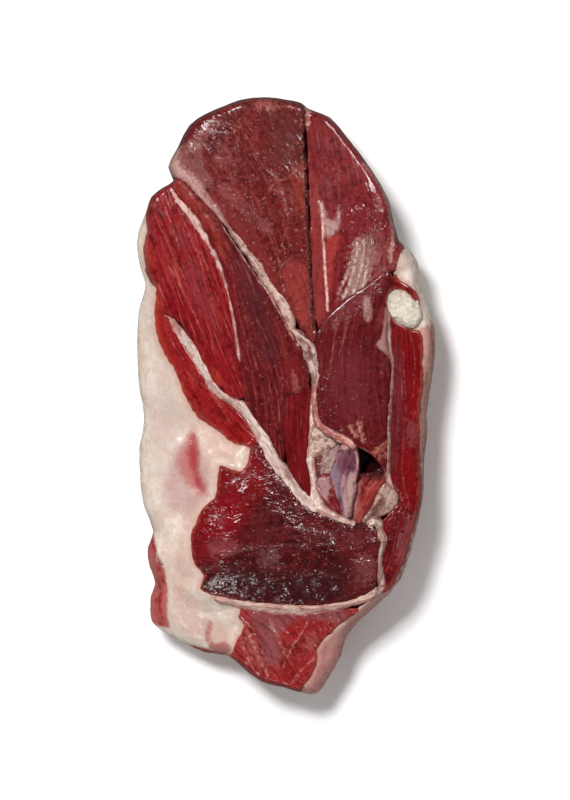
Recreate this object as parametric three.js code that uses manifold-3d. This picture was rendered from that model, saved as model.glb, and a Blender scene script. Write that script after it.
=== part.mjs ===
// A boneless cured ham, laid on its fat side with the cut muscles up.
// Units are millimetres. +Z is up and +Y runs along the ham to its broad end.
// The origin is at the middle of the base. Outlines are drawn in plan, seen from above.
import * as THREE from "three";
import { mergeVertices } from "three/addons/utils/BufferGeometryUtils.js";
import Module from "manifold-3d";

// Driving dimensions

const BACK_HEIGHT = 76; // top of the meat over the middle, before each muscle swells
const WIDEST_HEIGHT = 34; // the flanks bulge out furthest at this height
const LEAN_ROUNDING = 9; // reach of the round shoulder at the upper edge of the lean
const FAT_ROUNDING = 20; // the same where the left flank is fat
const BASE_ROUNDING = 32; // reach of the round turn under the flanks
const FAT_BELOW = 16; // fat under the lean
const FAT_STEP = 5; // the fat cover lies this far below the neighbouring lean
const GROOVE_DEPTH = 6; // crease where two muscles meet
const GROOVE_REACH = 3;
const SWELL_REACH = 26; // distance over which a muscle rises to its full swell
const CORE_DROP = 10; // depth at which the muscles are one mass
const SEAM_DEPTH = 8; // thickness of the fat between muscles
const SEAM_DROP = 2.5; // the seam fat lies a little below the meat
const CLEARANCE = 0.3; // between lean and fat
const ABOVE_ALL = 120;

// Outlines in plan

const SILHOUETTE = [
  [-79, 153.5], [-73, 166], [-64.5, 182], [-54.5, 189], [-43, 194], [-31, 198.5], [-14.5, 200.5],
  [1.5, 198.5], [10.5, 196.5], [15.5, 192.5], [29.5, 187], [41, 173.5], [57.5, 151.5], [69, 130.5],
  [75.5, 104.5], [82.5, 99], [88, 91], [90, 75.5], [96.5, 59], [100, 43.5], [100, 26], [94.5, -10],
  [95, -23.5], [92.5, -42], [92.5, -62.5], [89, -82.5], [83, -106], [76.5, -122.5], [66.5, -134.5],
  [49.5, -150], [41.5, -159.5], [37, -173.5], [29.5, -186.5], [23.5, -196.5], [15.5, -199.5],
  [-1.5, -194.5], [-16, -191], [-29, -181.5], [-39, -173.5], [-54.5, -171], [-67, -165.5],
  [-83, -157], [-90.5, -149.5], [-91, -134.5], [-88, -124.5], [-92, -113], [-93, -101], [-89, -90],
  [-95, -74.5], [-98, -55.5], [-98.5, -35.5], [-95, -14], [-98.5, 4.5], [-100, 35], [-99, 58.5],
  [-94.5, 74.5], [-100, 94.5], [-99, 110.5], [-93, 126], [-90, 134], [-82.5, 140], [-75.5, 144.5],
];

// Where the lean shows. It runs past the silhouette wherever the meat reaches the edge.
const LEAN_AREA = [
  [-94.5, 133.5], [-92, 118.5], [-91, 109], [-93, 100.5], [-92, 84], [-86, 71.5], [-87, 61],
  [-86.5, 45], [-80.5, 28], [-75, 20], [-71, 10], [-65.5, -3.5], [-57.5, -14], [-44, -23],
  [-35, -31], [-28, -32], [-24, -33.5], [-25, -42], [-29, -49], [-35.5, -48], [-43.5, -45],
  [-45, -55.5], [-47, -67.5], [-55.5, -73.5], [-59.5, -82.5], [-63, -94], [-60.5, -111],
  [-54.5, -118], [-57.5, -127.5], [-43, -132.5], [-30, -138], [-32, -146], [-28, -152],
  [-33.5, -163], [-35.5, -173.5], [-27.5, -181], [-16, -189.5], [-1.5, -193.5], [8.5, -195.5],
  [14.5, -188.5], [20, -177.5], [21, -168], [27, -159], [36, -151], [47, -142.5], [57.5, -134.5],
  [67, -127.5], [74.5, -116.5], [79.5, -102.5], [85, -88], [90, -72.5], [90.5, -59], [90, -42],
  [90, -22], [90.5, -8.5], [94, 8], [96, 23.5], [94.5, 37], [90, 43.5], [81.5, 45], [73.5, 49.5],
  [68.5, 56.5], [66.5, 63], [69, 69], [74.5, 71.5], [79.5, 69.5], [84.5, 63.5], [88, 57],
  [90.5, 54.5], [90, 65], [85, 74.5], [77.5, 79], [73.5, 84], [75, 93], [79, 105], [77.5, 128.5],
  [69.5, 148.5], [53, 173.5], [36, 192.5], [12.5, 205.5], [-10.5, 209.5], [-34, 207],
  [-57.5, 197.5], [-74.5, 182], [-81.5, 165.5], [-88, 151], [-91, 141.5],
];

// Each muscle has its outline, the spine that it thins out from, and its level above or below the back.
const MUSCLES = [
  {
    part: "broad top muscle",
    level: 2, swell: 4,
    spine: [[-22, 165], [0, 110], [10, 66]],
    outline: [
      [-86, 152], [-79, 171], [-67.5, 189], [-47.5, 201.5], [-21, 208.5], [9.5, 204.5], [12.5, 195],
      [12.5, 172], [14, 152], [15.5, 118.5], [17.5, 75], [19, 42], [14.5, 39.5], [8, 50], [0.5, 61],
      [-7.5, 72.5], [-16, 84.5], [-24, 94.5], [-32, 104.5], [-41, 114.5], [-51, 126],
      [-59.5, 135.5], [-67.5, 143.5], [-75.5, 146.5],
    ],
  },
  {
    part: "right shoulder muscle",
    level: 0, swell: 4,
    spine: [[26, 170], [42, 120], [34, 76]],
    outline: [
      [12, 200.5], [24, 196.5], [39.5, 182], [57.5, 160], [72.5, 138.5], [80.5, 108.5], [76.5, 94],
      [73.5, 85], [66.5, 83], [55, 75], [44, 67.5], [35, 60.5], [27, 53], [21.5, 45], [19, 55],
      [17, 85], [15.5, 122], [14, 165.5], [12.5, 189],
    ],
  },
  {
    part: "middle right muscle",
    level: 2, swell: 4,
    spine: [[44, 48], [44, 4]],
    outline: [
      [21.5, 45], [27, 53.5], [35, 61], [44, 68.5], [55, 75.5], [66.5, 84], [70.5, 77], [67, 67],
      [67.5, 55], [66.5, 40], [68.5, 28], [70.5, 14.5], [69, -2], [67.5, -19], [67.5, -35.5],
      [66.5, -51], [61.5, -43], [55.5, -37], [48, -33], [41, -27.5], [33, -23], [24, -19],
      [21, -8.5], [21, 8], [22, 25], [20, 37],
    ],
  },
  {
    part: "right band of muscle",
    level: -3, swell: 4,
    spine: [[84, 45], [82, -15], [80, -75], [73, -108]],
    outline: [
      [68.5, 65], [76.5, 75.5], [84.5, 75.5], [92.5, 61.5], [100.5, 45], [106.5, 25], [103, -2],
      [100.5, -22], [99, -49], [98, -75.5], [88.5, -106], [76.5, -129.5], [66.5, -136],
      [63.5, -128], [63, -116], [63, -102.5], [65, -94.5], [61.5, -86.5], [68.5, -77],
      [75.5, -69], [72.5, -60.5], [67.5, -52.5], [68.5, -35.5], [68.5, -19], [69.5, -2],
      [71, 14.5], [69, 28], [67, 41.5], [68.5, 55],
    ],
  },
  {
    part: "long left muscle",
    level: -1, swell: 4,
    spine: [[-80, 122], [-64, 70], [-38, 12]],
    outline: [
      [-99, 125.5], [-91, 142], [-79, 147.5], [-73, 138.5], [-63.5, 125.5], [-53.5, 110],
      [-45.5, 94], [-39.5, 75.5], [-36, 58.5], [-33, 38], [-29.5, 18], [-28, 0], [-36, -0.5],
      [-43.5, 5.5], [-49, 11.5], [-53, 19], [-56.5, 26], [-59.5, 33], [-64.5, 41], [-69.5, 49.5],
      [-77, 53], [-86, 57], [-91, 65], [-95, 75], [-99, 98.5],
    ],
  },
  {
    part: "lower left strip",
    level: -4, swell: 3,
    spine: [[-83, 50], [-68, 20], [-54, -4], [-30, -25]],
    outline: [
      [-91, 61.5], [-84.5, 59.5], [-77, 52.5], [-74.5, 45], [-69.5, 37.5], [-65, 30], [-61, 24],
      [-57.5, 17.5], [-52.5, 10.5], [-49, 4], [-44, -1.5], [-37, -5.5], [-31, -10.5], [-26, -16],
      [-23, -23], [-20, -28], [-24, -35.5], [-32, -37], [-43, -30], [-57.5, -22], [-67.5, -10],
      [-75, 4.5], [-84.5, 23.5], [-90.5, 41.5],
    ],
  },
  {
    part: "dark left muscle",
    level: 0, swell: 4,
    spine: [[-66, 134], [-32, 80], [-10, 28], [-8, -18]],
    outline: [
      [-75.5, 146.5], [-67.5, 143.5], [-59.5, 135.5], [-51, 126], [-43, 115], [-36, 104.5],
      [-27.5, 92], [-19.5, 80.5], [-10.5, 69], [-2, 55.5], [5.5, 43], [11.5, 30], [14.5, 17],
      [14.5, 8], [8, 2.5], [0, 0], [-0.5, -8.5], [-1.5, -21], [-1.5, -33], [-6, -31.5],
      [-12, -26], [-19, -18], [-24, -9.5], [-27.5, -0.5], [-29, 14.5], [-32, 37], [-36, 57],
      [-39.5, 75.5], [-45.5, 94], [-53.5, 110], [-63.5, 125.5], [-73, 138.5],
    ],
  },
  {
    part: "small pointed muscle",
    level: -2, swell: 2,
    spine: [[7, -6], [7, -32], [12, -56]],
    outline: [
      [0, 0], [8, 2.5], [14.5, 8.5], [16, -2], [15.5, -19], [14, -32], [13.5, -42], [15.5, -52.5],
      [17, -68.5], [11.5, -63], [6, -55], [1.5, -45.5], [-0.5, -34], [-1.5, -19],
    ],
  },
  {
    part: "dark lower muscle",
    level: 3, swell: 5,
    spine: [[-36, -84], [0, -105], [44, -110]],
    outline: [
      [-24, -31], [-19, -32], [-12, -41], [-5.5, -51], [2.5, -63], [9.5, -71], [17.5, -78.5],
      [26, -81.5], [36, -85], [46, -86.5], [55, -84.5], [61.5, -88], [64.5, -97], [61.5, -106.5],
      [62.5, -116], [57.5, -126.5], [51, -132.5], [44, -137.5], [29.5, -138], [9.5, -138],
      [-10.5, -137.5], [-24, -136.5], [-41, -133.5], [-62.5, -130.5], [-61.5, -119.5],
      [-67, -110.5], [-67, -96], [-64.5, -82.5], [-59, -73], [-49.5, -67], [-49, -55.5],
      [-49, -43.5], [-43, -41], [-34, -44], [-29, -43.5], [-28, -35.5],
    ],
  },
  {
    part: "lobe at the narrow end",
    level: 1, swell: 4,
    spine: [[-14, -165], [12, -165]],
    outline: [
      [-35, -137.5], [-24, -142], [-7.5, -143.5], [9.5, -144.5], [29.5, -142], [43, -140.5],
      [49.5, -141.5], [39.5, -151], [28, -161], [23, -168], [24, -177.5], [20, -189.5],
      [13.5, -204.5], [-4, -201.5], [-21, -196.5], [-33.5, -187], [-40, -177.5], [-37.5, -166],
      [-33.5, -156], [-30, -151], [-33.5, -144],
    ],
  },
  {
    part: "tendon fan in the bone hollow",
    level: -5, swell: 1,
    spine: [[24, -32], [25, -44]],
    outline: [
      [18.5, -26.5], [26, -26.5], [33.5, -30.5], [36, -36.5], [31.5, -45.5], [28, -51],
      [21.5, -50.5], [20, -38.5],
    ],
  },
  {
    part: "folded membrane in the bone hollow",
    level: -4, swell: 2.5,
    spine: [[40, -44], [38, -66]],
    outline: [
      [31.5, -43.5], [36, -35.5], [43, -33.5], [47, -38.5], [47.5, -47], [45, -55.5],
      [41.5, -65.5], [39, -77], [35, -72.5], [32, -62.5], [30, -52.5],
    ],
  },
  {
    part: "meat on the floor of the bone hollow",
    level: -11, swell: 1.5,
    spine: [[56, -58], [48, -72]],
    outline: [
      [45.5, -57], [55, -51.5], [63, -50], [67.5, -55.5], [63, -63.5], [59, -71.5],
      [52.5, -80.5], [43, -81], [38, -77], [41.5, -67],
    ],
  },
  {
    part: "gristle in the bone hollow",
    level: -7, swell: 1,
    spine: [[66, -68], [60, -75]],
    outline: [
      [63, -61.5], [70.5, -63], [73.5, -69], [67, -75], [57.5, -80.5], [51.5, -80.5], [57, -71.5],
    ],
  },
  {
    part: "sliver of meat beside the bone hollow",
    level: -4, swell: 1,
    spine: [[25, -58], [30, -70]],
    outline: [
      [21.5, -51.5], [28, -51.5], [32, -61], [37.5, -77], [29.5, -75], [21, -65.5],
    ],
  },
];

// Fat between muscles: a centre line of [x, y, half width].
const SEAMS = {
  upper: [
    [-43, 118, 1], [-36, 110, 1.5], [-27.5, 98.5, 2.5], [-20, 86.5, 3], [-13.5, 76.5, 2.7],
    [-6.5, 67.5, 3.3], [1.5, 57.5, 4], [8.5, 45, 4.7], [14, 33.5, 4.7], [17.5, 23.5, 3.4],
    [19.5, 12, 2], [18.5, 2, 2], [17.5, -8, 2.3], [16.5, -20, 2.5], [15.5, -32, 2.5],
    [16, -46, 3], [17, -60, 3], [20, -72, 4], [28, -78, 2.7], [40, -83, 1.5],
  ],
  lower: [
    [-76, 53, 1], [-72.5, 45.5, 2.7], [-67, 37.5, 3.7], [-61.5, 29.5, 3.7], [-57.5, 22, 3.4],
    [-53, 14, 3.4], [-49, 6.5, 3.2], [-43, 1.5, 2.7], [-35.5, -3.5, 3], [-29, -8.5, 4],
    [-23, -17, 4.7], [-18, -24, 4.7], [-12, -33, 5.4], [-6, -42, 4.7], [0, -51.5, 4.7],
    [5.5, -60.5, 4.7], [12, -69, 4.7], [20, -75, 4],
  ],
  neck: [[-34, -33.5, 1.6], [-24, -33, 1.6], [-14, -33.5, 1.6]],
  end: [
    [-56, -130, 2.5], [-41, -134.5, 2.5], [-27.5, -138, 2.7], [-14, -139.5, 3], [-0.5, -140.5, 3],
    [12.5, -141.5, 3], [26, -140, 2.7], [39.5, -138.5, 2], [48, -136.5, 2.7], [56, -132, 2.7],
    [66, -131, 2],
  ],
  vein: [
    [55.5, -82, 1.6], [60.5, -84.5, 2], [62.5, -90.5, 1.7], [64.5, -96.5, 1.7], [63, -102.5, 1.2],
    [61, -109, 1.2], [62.5, -116, 1.5], [64, -122.5, 1.7], [64, -131, 2],
  ],
};

// The dark mouth where the bone came out. It leans in under the middle right muscle as it goes down.
const HOLLOW_MOUTH = [
  [43.5, -29.5], [48.5, -35], [56, -38.5], [62.5, -46], [57, -48.5], [48, -54.5], [47, -45.5],
];
const HOLLOW_DEPTH = 34;
const HOLLOW_LEAN = [2, 9];

// A pale lump of hard fat by the right edge: centre, half sizes and turn.
const FAT_LUMP = { centre: [78, 58.5], half: [14.5, 9.5, 8], turn: -0.9 };

// Shape functions

const smooth = (t) => {
  const u = Math.min(Math.max(t, 0), 1);
  return u * u * (3 - 2 * u);
};

// Height of the ham's back, which drops to the narrow end, a little to the broad end, and to the fat side.
function backHeight(x, y) {
  const narrowEnd = 20 * smooth((-y - 95) / 95);
  const broadEnd = 7 * smooth((y - 105) / 90);
  const fatSide = 9 * smooth((-x - 25) / 70);
  const rightSide = 3 * smooth((x - 50) / 45);
  return BACK_HEIGHT - narrowEnd - broadEnd - fatSide - rightSide;
}

// How far in the upper edge is rounded: more where the left flank is fat.
function topRounding(x, y) {
  const fatFlank = smooth((-x - 50) / 40) * smooth((130 - y) / 30);
  return LEAN_ROUNDING + (FAT_ROUNDING - LEAN_ROUNDING) * fatFlank;
}

// A closed curve through plan points, as [x, y] pairs.
function closedCurve(points, perPoint) {
  const path = new THREE.CatmullRomCurve3(
    points.map(([x, y]) => new THREE.Vector3(x, y, 0)),
    true,
    "centripetal",
  );
  return path
    .getPoints(points.length * perPoint)
    .slice(0, -1)
    .map((p) => [p.x, p.y]);
}

function nearestOnSegment([x, y], [ax, ay], [bx, by]) {
  const length2 = (bx - ax) ** 2 + (by - ay) ** 2;
  const t = Math.min(Math.max(((x - ax) * (bx - ax) + (y - ay) * (by - ay)) / length2, 0), 1);
  return [ax + t * (bx - ax), ay + t * (by - ay)];
}

const distance = ([ax, ay], [bx, by]) => Math.hypot(ax - bx, ay - by);

// Distance from a point to a closed outline, positive inside.
function depthInside(point, outline) {
  let nearest = Infinity;
  let inside = false;
  outline.forEach((a, i) => {
    const b = outline[(i + 1) % outline.length];
    nearest = Math.min(nearest, distance(point, nearestOnSegment(point, a, b)));
    const crosses = a[1] > point[1] !== b[1] > point[1];
    if (crosses && point[0] < ((b[0] - a[0]) * (point[1] - a[1])) / (b[1] - a[1]) + a[0])
      inside = !inside;
  });
  return inside ? nearest : -nearest;
}

// The point that lies inset millimetres from an outline point towards the nearest spot of the spine.
function stepInward(point, spine, inset) {
  const targets = spine.slice(1).map((b, i) => nearestOnSegment(point, spine[i], b));
  targets.sort((a, b) => distance(point, a) - distance(point, b));
  const reach = distance(point, targets[0]);
  const t = Math.min(inset / reach, 0.9);
  return [point[0] + (targets[0][0] - point[0]) * t, point[1] + (targets[0][1] - point[1]) * t];
}

// Solids

const wasm = await Module();
wasm.setup();

// A closed solid from a row of rings with as many [x, y, z] points each, turning anticlockwise
// when seen from the last ring. The end caps are cut up in plan, or as a fan when upright.
function ringSolid(rings, upright = false) {
  const count = rings[0].length;
  const faces = [];
  for (let r = 0; r + 1 < rings.length; r += 1) {
    for (let i = 0; i < count; i += 1) {
      const j = (i + 1) % count;
      const [a, b] = [r * count + i, r * count + j];
      const [c, d] = [a + count, b + count];
      faces.push(a, b, d, a, d, c);
    }
  }
  const cap = (ring, offset, last) => {
    const flat = ring.map(([x, y]) => new THREE.Vector2(x, y));
    const fan = Array.from({ length: count - 2 }, (_, i) => [0, i + 1, i + 2]);
    for (const [a, b, c] of upright ? fan : THREE.ShapeUtils.triangulateShape(flat, []))
      faces.push(...(last ? [a, b, c] : [c, b, a]).map((v) => v + offset));
  };
  cap(rings[0], 0, false);
  cap(rings.at(-1), (rings.length - 1) * count, true);
  const geometry = new THREE.BufferGeometry();
  geometry.setAttribute("position", new THREE.Float32BufferAttribute(rings.flat(2), 3));
  geometry.setIndex(faces);
  return solidFrom(geometry);
}

function solidFrom(geometry) {
  const bare = geometry.clone();
  bare.deleteAttribute("normal");
  bare.deleteAttribute("uv");
  const merged = mergeVertices(bare, 1e-4);
  return new wasm.Manifold(
    new wasm.Mesh({
      numProp: 3,
      vertProperties: merged.attributes.position.array,
      triVerts: new Uint32Array(merged.index.array),
    }),
  );
}

function geometryFrom(solid) {
  const mesh = solid.getMesh();
  const positions = [];
  for (let i = 0; i < mesh.numVert; i += 1)
    positions.push(...mesh.vertProperties.subarray(i * mesh.numProp, i * mesh.numProp + 3));
  const geometry = new THREE.BufferGeometry();
  geometry.setAttribute("position", new THREE.Float32BufferAttribute(positions, 3));
  geometry.setIndex(new THREE.BufferAttribute(mesh.triVerts, 1));
  geometry.computeVertexNormals();
  return geometry;
}

// Outlines run anticlockwise, so that ring solids face outwards.
function anticlockwise(outline) {
  return THREE.ShapeUtils.area(outline.map(([x, y]) => new THREE.Vector2(x, y))) < 0
    ? outline.toReversed()
    : outline;
}

const silhouette = anticlockwise(closedCurve(SILHOUETTE, 2));
const BODY_SPINE = [[-8, 130], [-5, 0], [-12, -130]];

// The ham's whole form under a smooth top that lies lift above the back.
function pillow(lift) {
  const rings = [];
  const quarter = (steps) => Array.from({ length: steps }, (_, i) => (i / (steps - 1)) * (Math.PI / 2));
  const ring = (inset, height) =>
    silhouette.map((p) => {
      const [x, y] = stepInward(p, BODY_SPINE, inset(...p));
      return [x, y, height(Math.max(depthInside([x, y], silhouette), 0), x, y)];
    });
  const rise = (depth, reach) => Math.sqrt(1 - (1 - Math.min(depth / reach, 1)) ** 2);
  rings.push(ring(() => BASE_ROUNDING * 1.3, () => 0));
  for (const turn of quarter(5).slice(1, -1).reverse())
    rings.push(
      ring(
        () => BASE_ROUNDING * (1 - Math.cos(turn)),
        (depth) => WIDEST_HEIGHT * (1 - rise(depth, BASE_ROUNDING)),
      ),
    );
  const top = (depth, x, y) =>
    WIDEST_HEIGHT + (backHeight(x, y) + lift - WIDEST_HEIGHT) * rise(depth, topRounding(x, y));
  rings.push(ring(() => 0, () => WIDEST_HEIGHT));
  for (const turn of quarter(6).slice(1))
    rings.push(ring((x, y) => topRounding(x, y) * (1 - Math.cos(turn)), top));
  for (const inset of [42, 62]) rings.push(ring(() => inset, top));
  return ringSolid(rings);
}

// A muscle swells from the creases at its edge. Its sides lean out below, into its neighbours.
function muscleSolid({ outline, spine, level, swell }) {
  const edge = anticlockwise(closedCurve(outline, 1));
  const rings = [
    edge.map((p) => [...stepInward(p, spine, -3), 30]),
    edge.map((p) => {
      const [x, y] = stepInward(p, spine, -2);
      return [x, y, backHeight(x, y) - CORE_DROP - 4];
    }),
  ];
  for (const inset of [0, 2.5, 7, 15, 30])
    rings.push(
      edge.map((p) => {
        const [x, y] = stepInward(p, spine, inset);
        const depth = Math.max(depthInside([x, y], edge), 0);
        const swelling = swell * (1 - (1 - Math.min(depth / SWELL_REACH, 1)) ** 2);
        const crease = GROOVE_DEPTH * Math.exp(-depth / GROOVE_REACH);
        return [x, y, backHeight(x, y) + level + swelling - crease];
      }),
    );
  return ringSolid(rings);
}

// A closed outline moved outwards by the same distance all round.
function growOutline(edge, grow) {
  return edge.map((p, i) => {
    const before = edge.at(i - 1);
    const after = edge[(i + 1) % edge.length];
    const into = new THREE.Vector2(p[0] - before[0], p[1] - before[1]).normalize();
    const out = new THREE.Vector2(after[0] - p[0], after[1] - p[1]).normalize();
    const corner = Math.max(Math.sqrt((1 + into.dot(out)) / 2), 0.35);
    const along = into.add(out).normalize();
    return [p[0] + (along.y * grow) / corner, p[1] - (along.x * grow) / corner];
  });
}

// A strip of seam fat along its centre line, or with a grow the room that it needs, open at the top.
function seamSolid(line, grow) {
  const path = new THREE.CatmullRomCurve3(
    line.map(([x, y, half]) => new THREE.Vector3(x, y, half)),
    false,
    "centripetal",
  );
  const stations = path.getPoints(line.length * 2);
  const sections = stations.map(({ x, y, z: half }, i) => {
    const before = stations[Math.max(i - 1, 0)];
    const after = stations[Math.min(i + 1, stations.length - 1)];
    const along = new THREE.Vector2(after.x - before.x, after.y - before.y).normalize();
    const end = i === 0 ? -grow : i === stations.length - 1 ? grow : 0;
    const back = backHeight(x, y) - SEAM_DROP;
    const base = back - SEAM_DEPTH - grow;
    const corner = (side, z) => [
      x + along.x * end - along.y * side * (half + grow),
      y + along.y * end + along.x * side * (half + grow),
      z,
    ];
    return grow
      ? [corner(1, base), corner(1, ABOVE_ALL), corner(-1, ABOVE_ALL), corner(-1, base)]
      : [
          corner(1, base),
          corner(1, back - 1),
          corner(0.4, back),
          corner(-0.4, back),
          corner(-1, back - 1),
          corner(-1, base),
        ];
  });
  return ringSolid(sections, true);
}

// The bone hollow: its mouth, drawn down and in under the neighbouring muscle.
function hollowSolid() {
  const mouth = anticlockwise(closedCurve(HOLLOW_MOUTH, 3));
  const [mx, my] = [54, -43];
  const levels = [
    { drop: HOLLOW_DEPTH, scale: 0.55, lean: 1 },
    { drop: HOLLOW_DEPTH * 0.75, scale: 1.05, lean: 0.8 },
    { drop: HOLLOW_DEPTH * 0.4, scale: 1.1, lean: 0.4 },
    { drop: 8, scale: 1, lean: 0 },
    { drop: -20, scale: 1.05, lean: 0 },
  ];
  return ringSolid(
    levels.map(({ drop, scale, lean }) =>
      mouth.map(([x, y]) => [
        mx + (x - mx) * scale + HOLLOW_LEAN[0] * lean,
        my + (y - my) * scale + HOLLOW_LEAN[1] * lean,
        BACK_HEIGHT - drop,
      ]),
    ),
  );
}

// The plan area of the lean, grown by a clearance, as a straight block above the fat underneath.
function leanBlock(grow) {
  const edge = growOutline(anticlockwise(closedCurve(LEAN_AREA, 2)), grow);
  return ringSolid([FAT_BELOW - grow, ABOVE_ALL].map((z) => edge.map(([x, y]) => [x, y, z])));
}

function fatLump(grow) {
  const [hx, hy, hz] = FAT_LUMP.half.map((h) => h + grow);
  const [x, y] = FAT_LUMP.centre;
  const geometry = new THREE.SphereGeometry(1, 24, 12);
  geometry.scale(hx, hy, hz);
  geometry.rotateZ(FAT_LUMP.turn);
  geometry.translate(x, y, backHeight(x, y) - 5);
  return solidFrom(geometry);
}

function makeLean() {
  const core = pillow(-CORE_DROP);
  const muscles = MUSCLES.map(muscleSolid).reduce((all, one) => all.add(one), core);
  const trimmed = muscles.intersect(pillow(9)).intersect(leanBlock(0)).subtract(hollowSolid());
  const cuts = [...Object.values(SEAMS).map((line) => seamSolid(line, CLEARANCE)), fatLump(CLEARANCE)];
  return cuts.reduce((rest, cut) => rest.subtract(cut), trimmed);
}

function makeFat() {
  const bowl = pillow(-FAT_STEP).subtract(leanBlock(CLEARANCE));
  const seams = Object.values(SEAMS).map((line) => seamSolid(line, 0));
  const joined = seams.reduce((all, one) => all.add(one), bowl).add(fatLump(0));
  return joined.intersect(pillow(9));
}

const lean = new THREE.Mesh(
  geometryFrom(makeLean()),
  new THREE.MeshStandardMaterial({ color: 0x6f1a1c, roughness: 0.35, metalness: 0 }),
);
lean.name = "lean_meat";

const fat = new THREE.Mesh(
  geometryFrom(makeFat()),
  new THREE.MeshStandardMaterial({ color: 0xdccabb, roughness: 0.5, metalness: 0 }),
);
fat.name = "fat_cover";

const ham = new THREE.Group();
ham.add(lean, fat);

export default ham;
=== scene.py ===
"""A boneless cured ham, fat side down, on a pale floor and seen from straight above.

Sizes are in millimetres and become metres as each mesh is made. +Y runs to the ham's broad end.
Colours are written as they look, in parts of 255, and become linear as each material is made.
"""

import itertools
import math
from collections import namedtuple

import bmesh
import bpy
import numpy as np
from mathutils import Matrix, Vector


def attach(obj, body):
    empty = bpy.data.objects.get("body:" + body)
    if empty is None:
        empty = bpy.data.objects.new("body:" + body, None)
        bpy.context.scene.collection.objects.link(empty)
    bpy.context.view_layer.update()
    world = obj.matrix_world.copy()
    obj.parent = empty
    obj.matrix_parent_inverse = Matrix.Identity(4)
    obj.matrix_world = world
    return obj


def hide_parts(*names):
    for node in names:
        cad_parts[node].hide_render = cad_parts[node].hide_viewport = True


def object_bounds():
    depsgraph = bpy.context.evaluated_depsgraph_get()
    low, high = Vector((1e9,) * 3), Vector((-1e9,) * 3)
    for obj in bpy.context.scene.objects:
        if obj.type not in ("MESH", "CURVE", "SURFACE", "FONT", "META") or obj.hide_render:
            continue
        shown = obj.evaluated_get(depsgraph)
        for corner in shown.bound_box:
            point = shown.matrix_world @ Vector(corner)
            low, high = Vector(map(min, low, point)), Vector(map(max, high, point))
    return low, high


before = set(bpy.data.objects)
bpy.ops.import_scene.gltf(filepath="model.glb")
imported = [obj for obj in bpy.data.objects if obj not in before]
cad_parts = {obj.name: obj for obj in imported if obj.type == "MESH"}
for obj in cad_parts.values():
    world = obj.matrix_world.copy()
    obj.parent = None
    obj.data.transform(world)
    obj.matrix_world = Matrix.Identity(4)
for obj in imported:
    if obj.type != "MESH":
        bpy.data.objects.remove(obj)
cad_box = [list(corner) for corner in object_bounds()]

MM = 0.001

# The ham's form, as in the solids
BACK_HEIGHT = 76  # the cut face, where it is highest
WIDEST_HEIGHT = 34  # where the sides stand out furthest
LEAN_ROUNDING = 9  # reach of the round shoulder at the upper edge of the lean
FAT_ROUNDING = 20  # the same where the left flank is fat
BASE_ROUNDING = 32
FAT_BELOW = 16  # thickness of the fat under the lean
FAT_STEP = 5  # how far the fat lies below the lean away from their edge
SWELL_REACH = 26  # how far in from its edge a muscle goes on swelling
CORE_DROP = 10
TRIM_LIFT = 9

# Only in the visible skins: creases and troughs between the muscles
EDGE_ROUNDING = 0.8
CREASE_DEPTH = 0.35
CREASE_REACH = 1.4
MUSCLE_THICKNESS = 17
SEAM_TROUGH = 1.6
CRACK_GAP = 0.6
LEAN_INSET = 0.2

# Sizes of the cells that the skins are made from
MUSCLE_CELL = 0.9
HOLLOW_FORM_CELL = 0.6
STRAND_CELL = 0.7
FAT_CELL = 1.5
CORE_CELL = 2.0

# How the ham was seen: the width of the view in pixels, and what one pixel covers
VIEW_PIXELS = 570
PIXEL_SIZE = 0.67
VIEW_CENTRE = (-0.67, -2.0)
CAMERA_HEIGHT = 3000

# Outlines in plan, of the whole ham and of the meat that shows within it
SILHOUETTE = [
    (-79, 153.5), (-73, 166), (-64.5, 182), (-54.5, 189), (-43, 194), (-31, 198.5), (-14.5, 200.5),
    (1.5, 198.5), (10.5, 196.5), (15.5, 192.5), (29.5, 187), (41, 173.5), (57.5, 151.5), (69, 130.5),
    (75.5, 104.5), (82.5, 99), (88, 91), (90, 75.5), (96.5, 59), (100, 43.5), (100, 26), (94.5, -10),
    (95, -23.5), (92.5, -42), (92.5, -62.5), (89, -82.5), (83, -106), (76.5, -122.5), (66.5, -134.5),
    (49.5, -150), (41.5, -159.5), (37, -173.5), (29.5, -186.5), (23.5, -196.5), (15.5, -199.5),
    (-1.5, -194.5), (-16, -191), (-29, -181.5), (-39, -173.5), (-54.5, -171), (-67, -165.5), (-83, -157),
    (-90.5, -149.5), (-91, -134.5), (-88, -124.5), (-92, -113), (-93, -101), (-89, -90), (-95, -74.5),
    (-98, -55.5), (-98.5, -35.5), (-95, -14), (-98.5, 4.5), (-100, 35), (-99, 58.5), (-94.5, 74.5),
    (-100, 94.5), (-99, 110.5), (-93, 126), (-90, 134), (-82.5, 140), (-75.5, 144.5),
]

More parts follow.
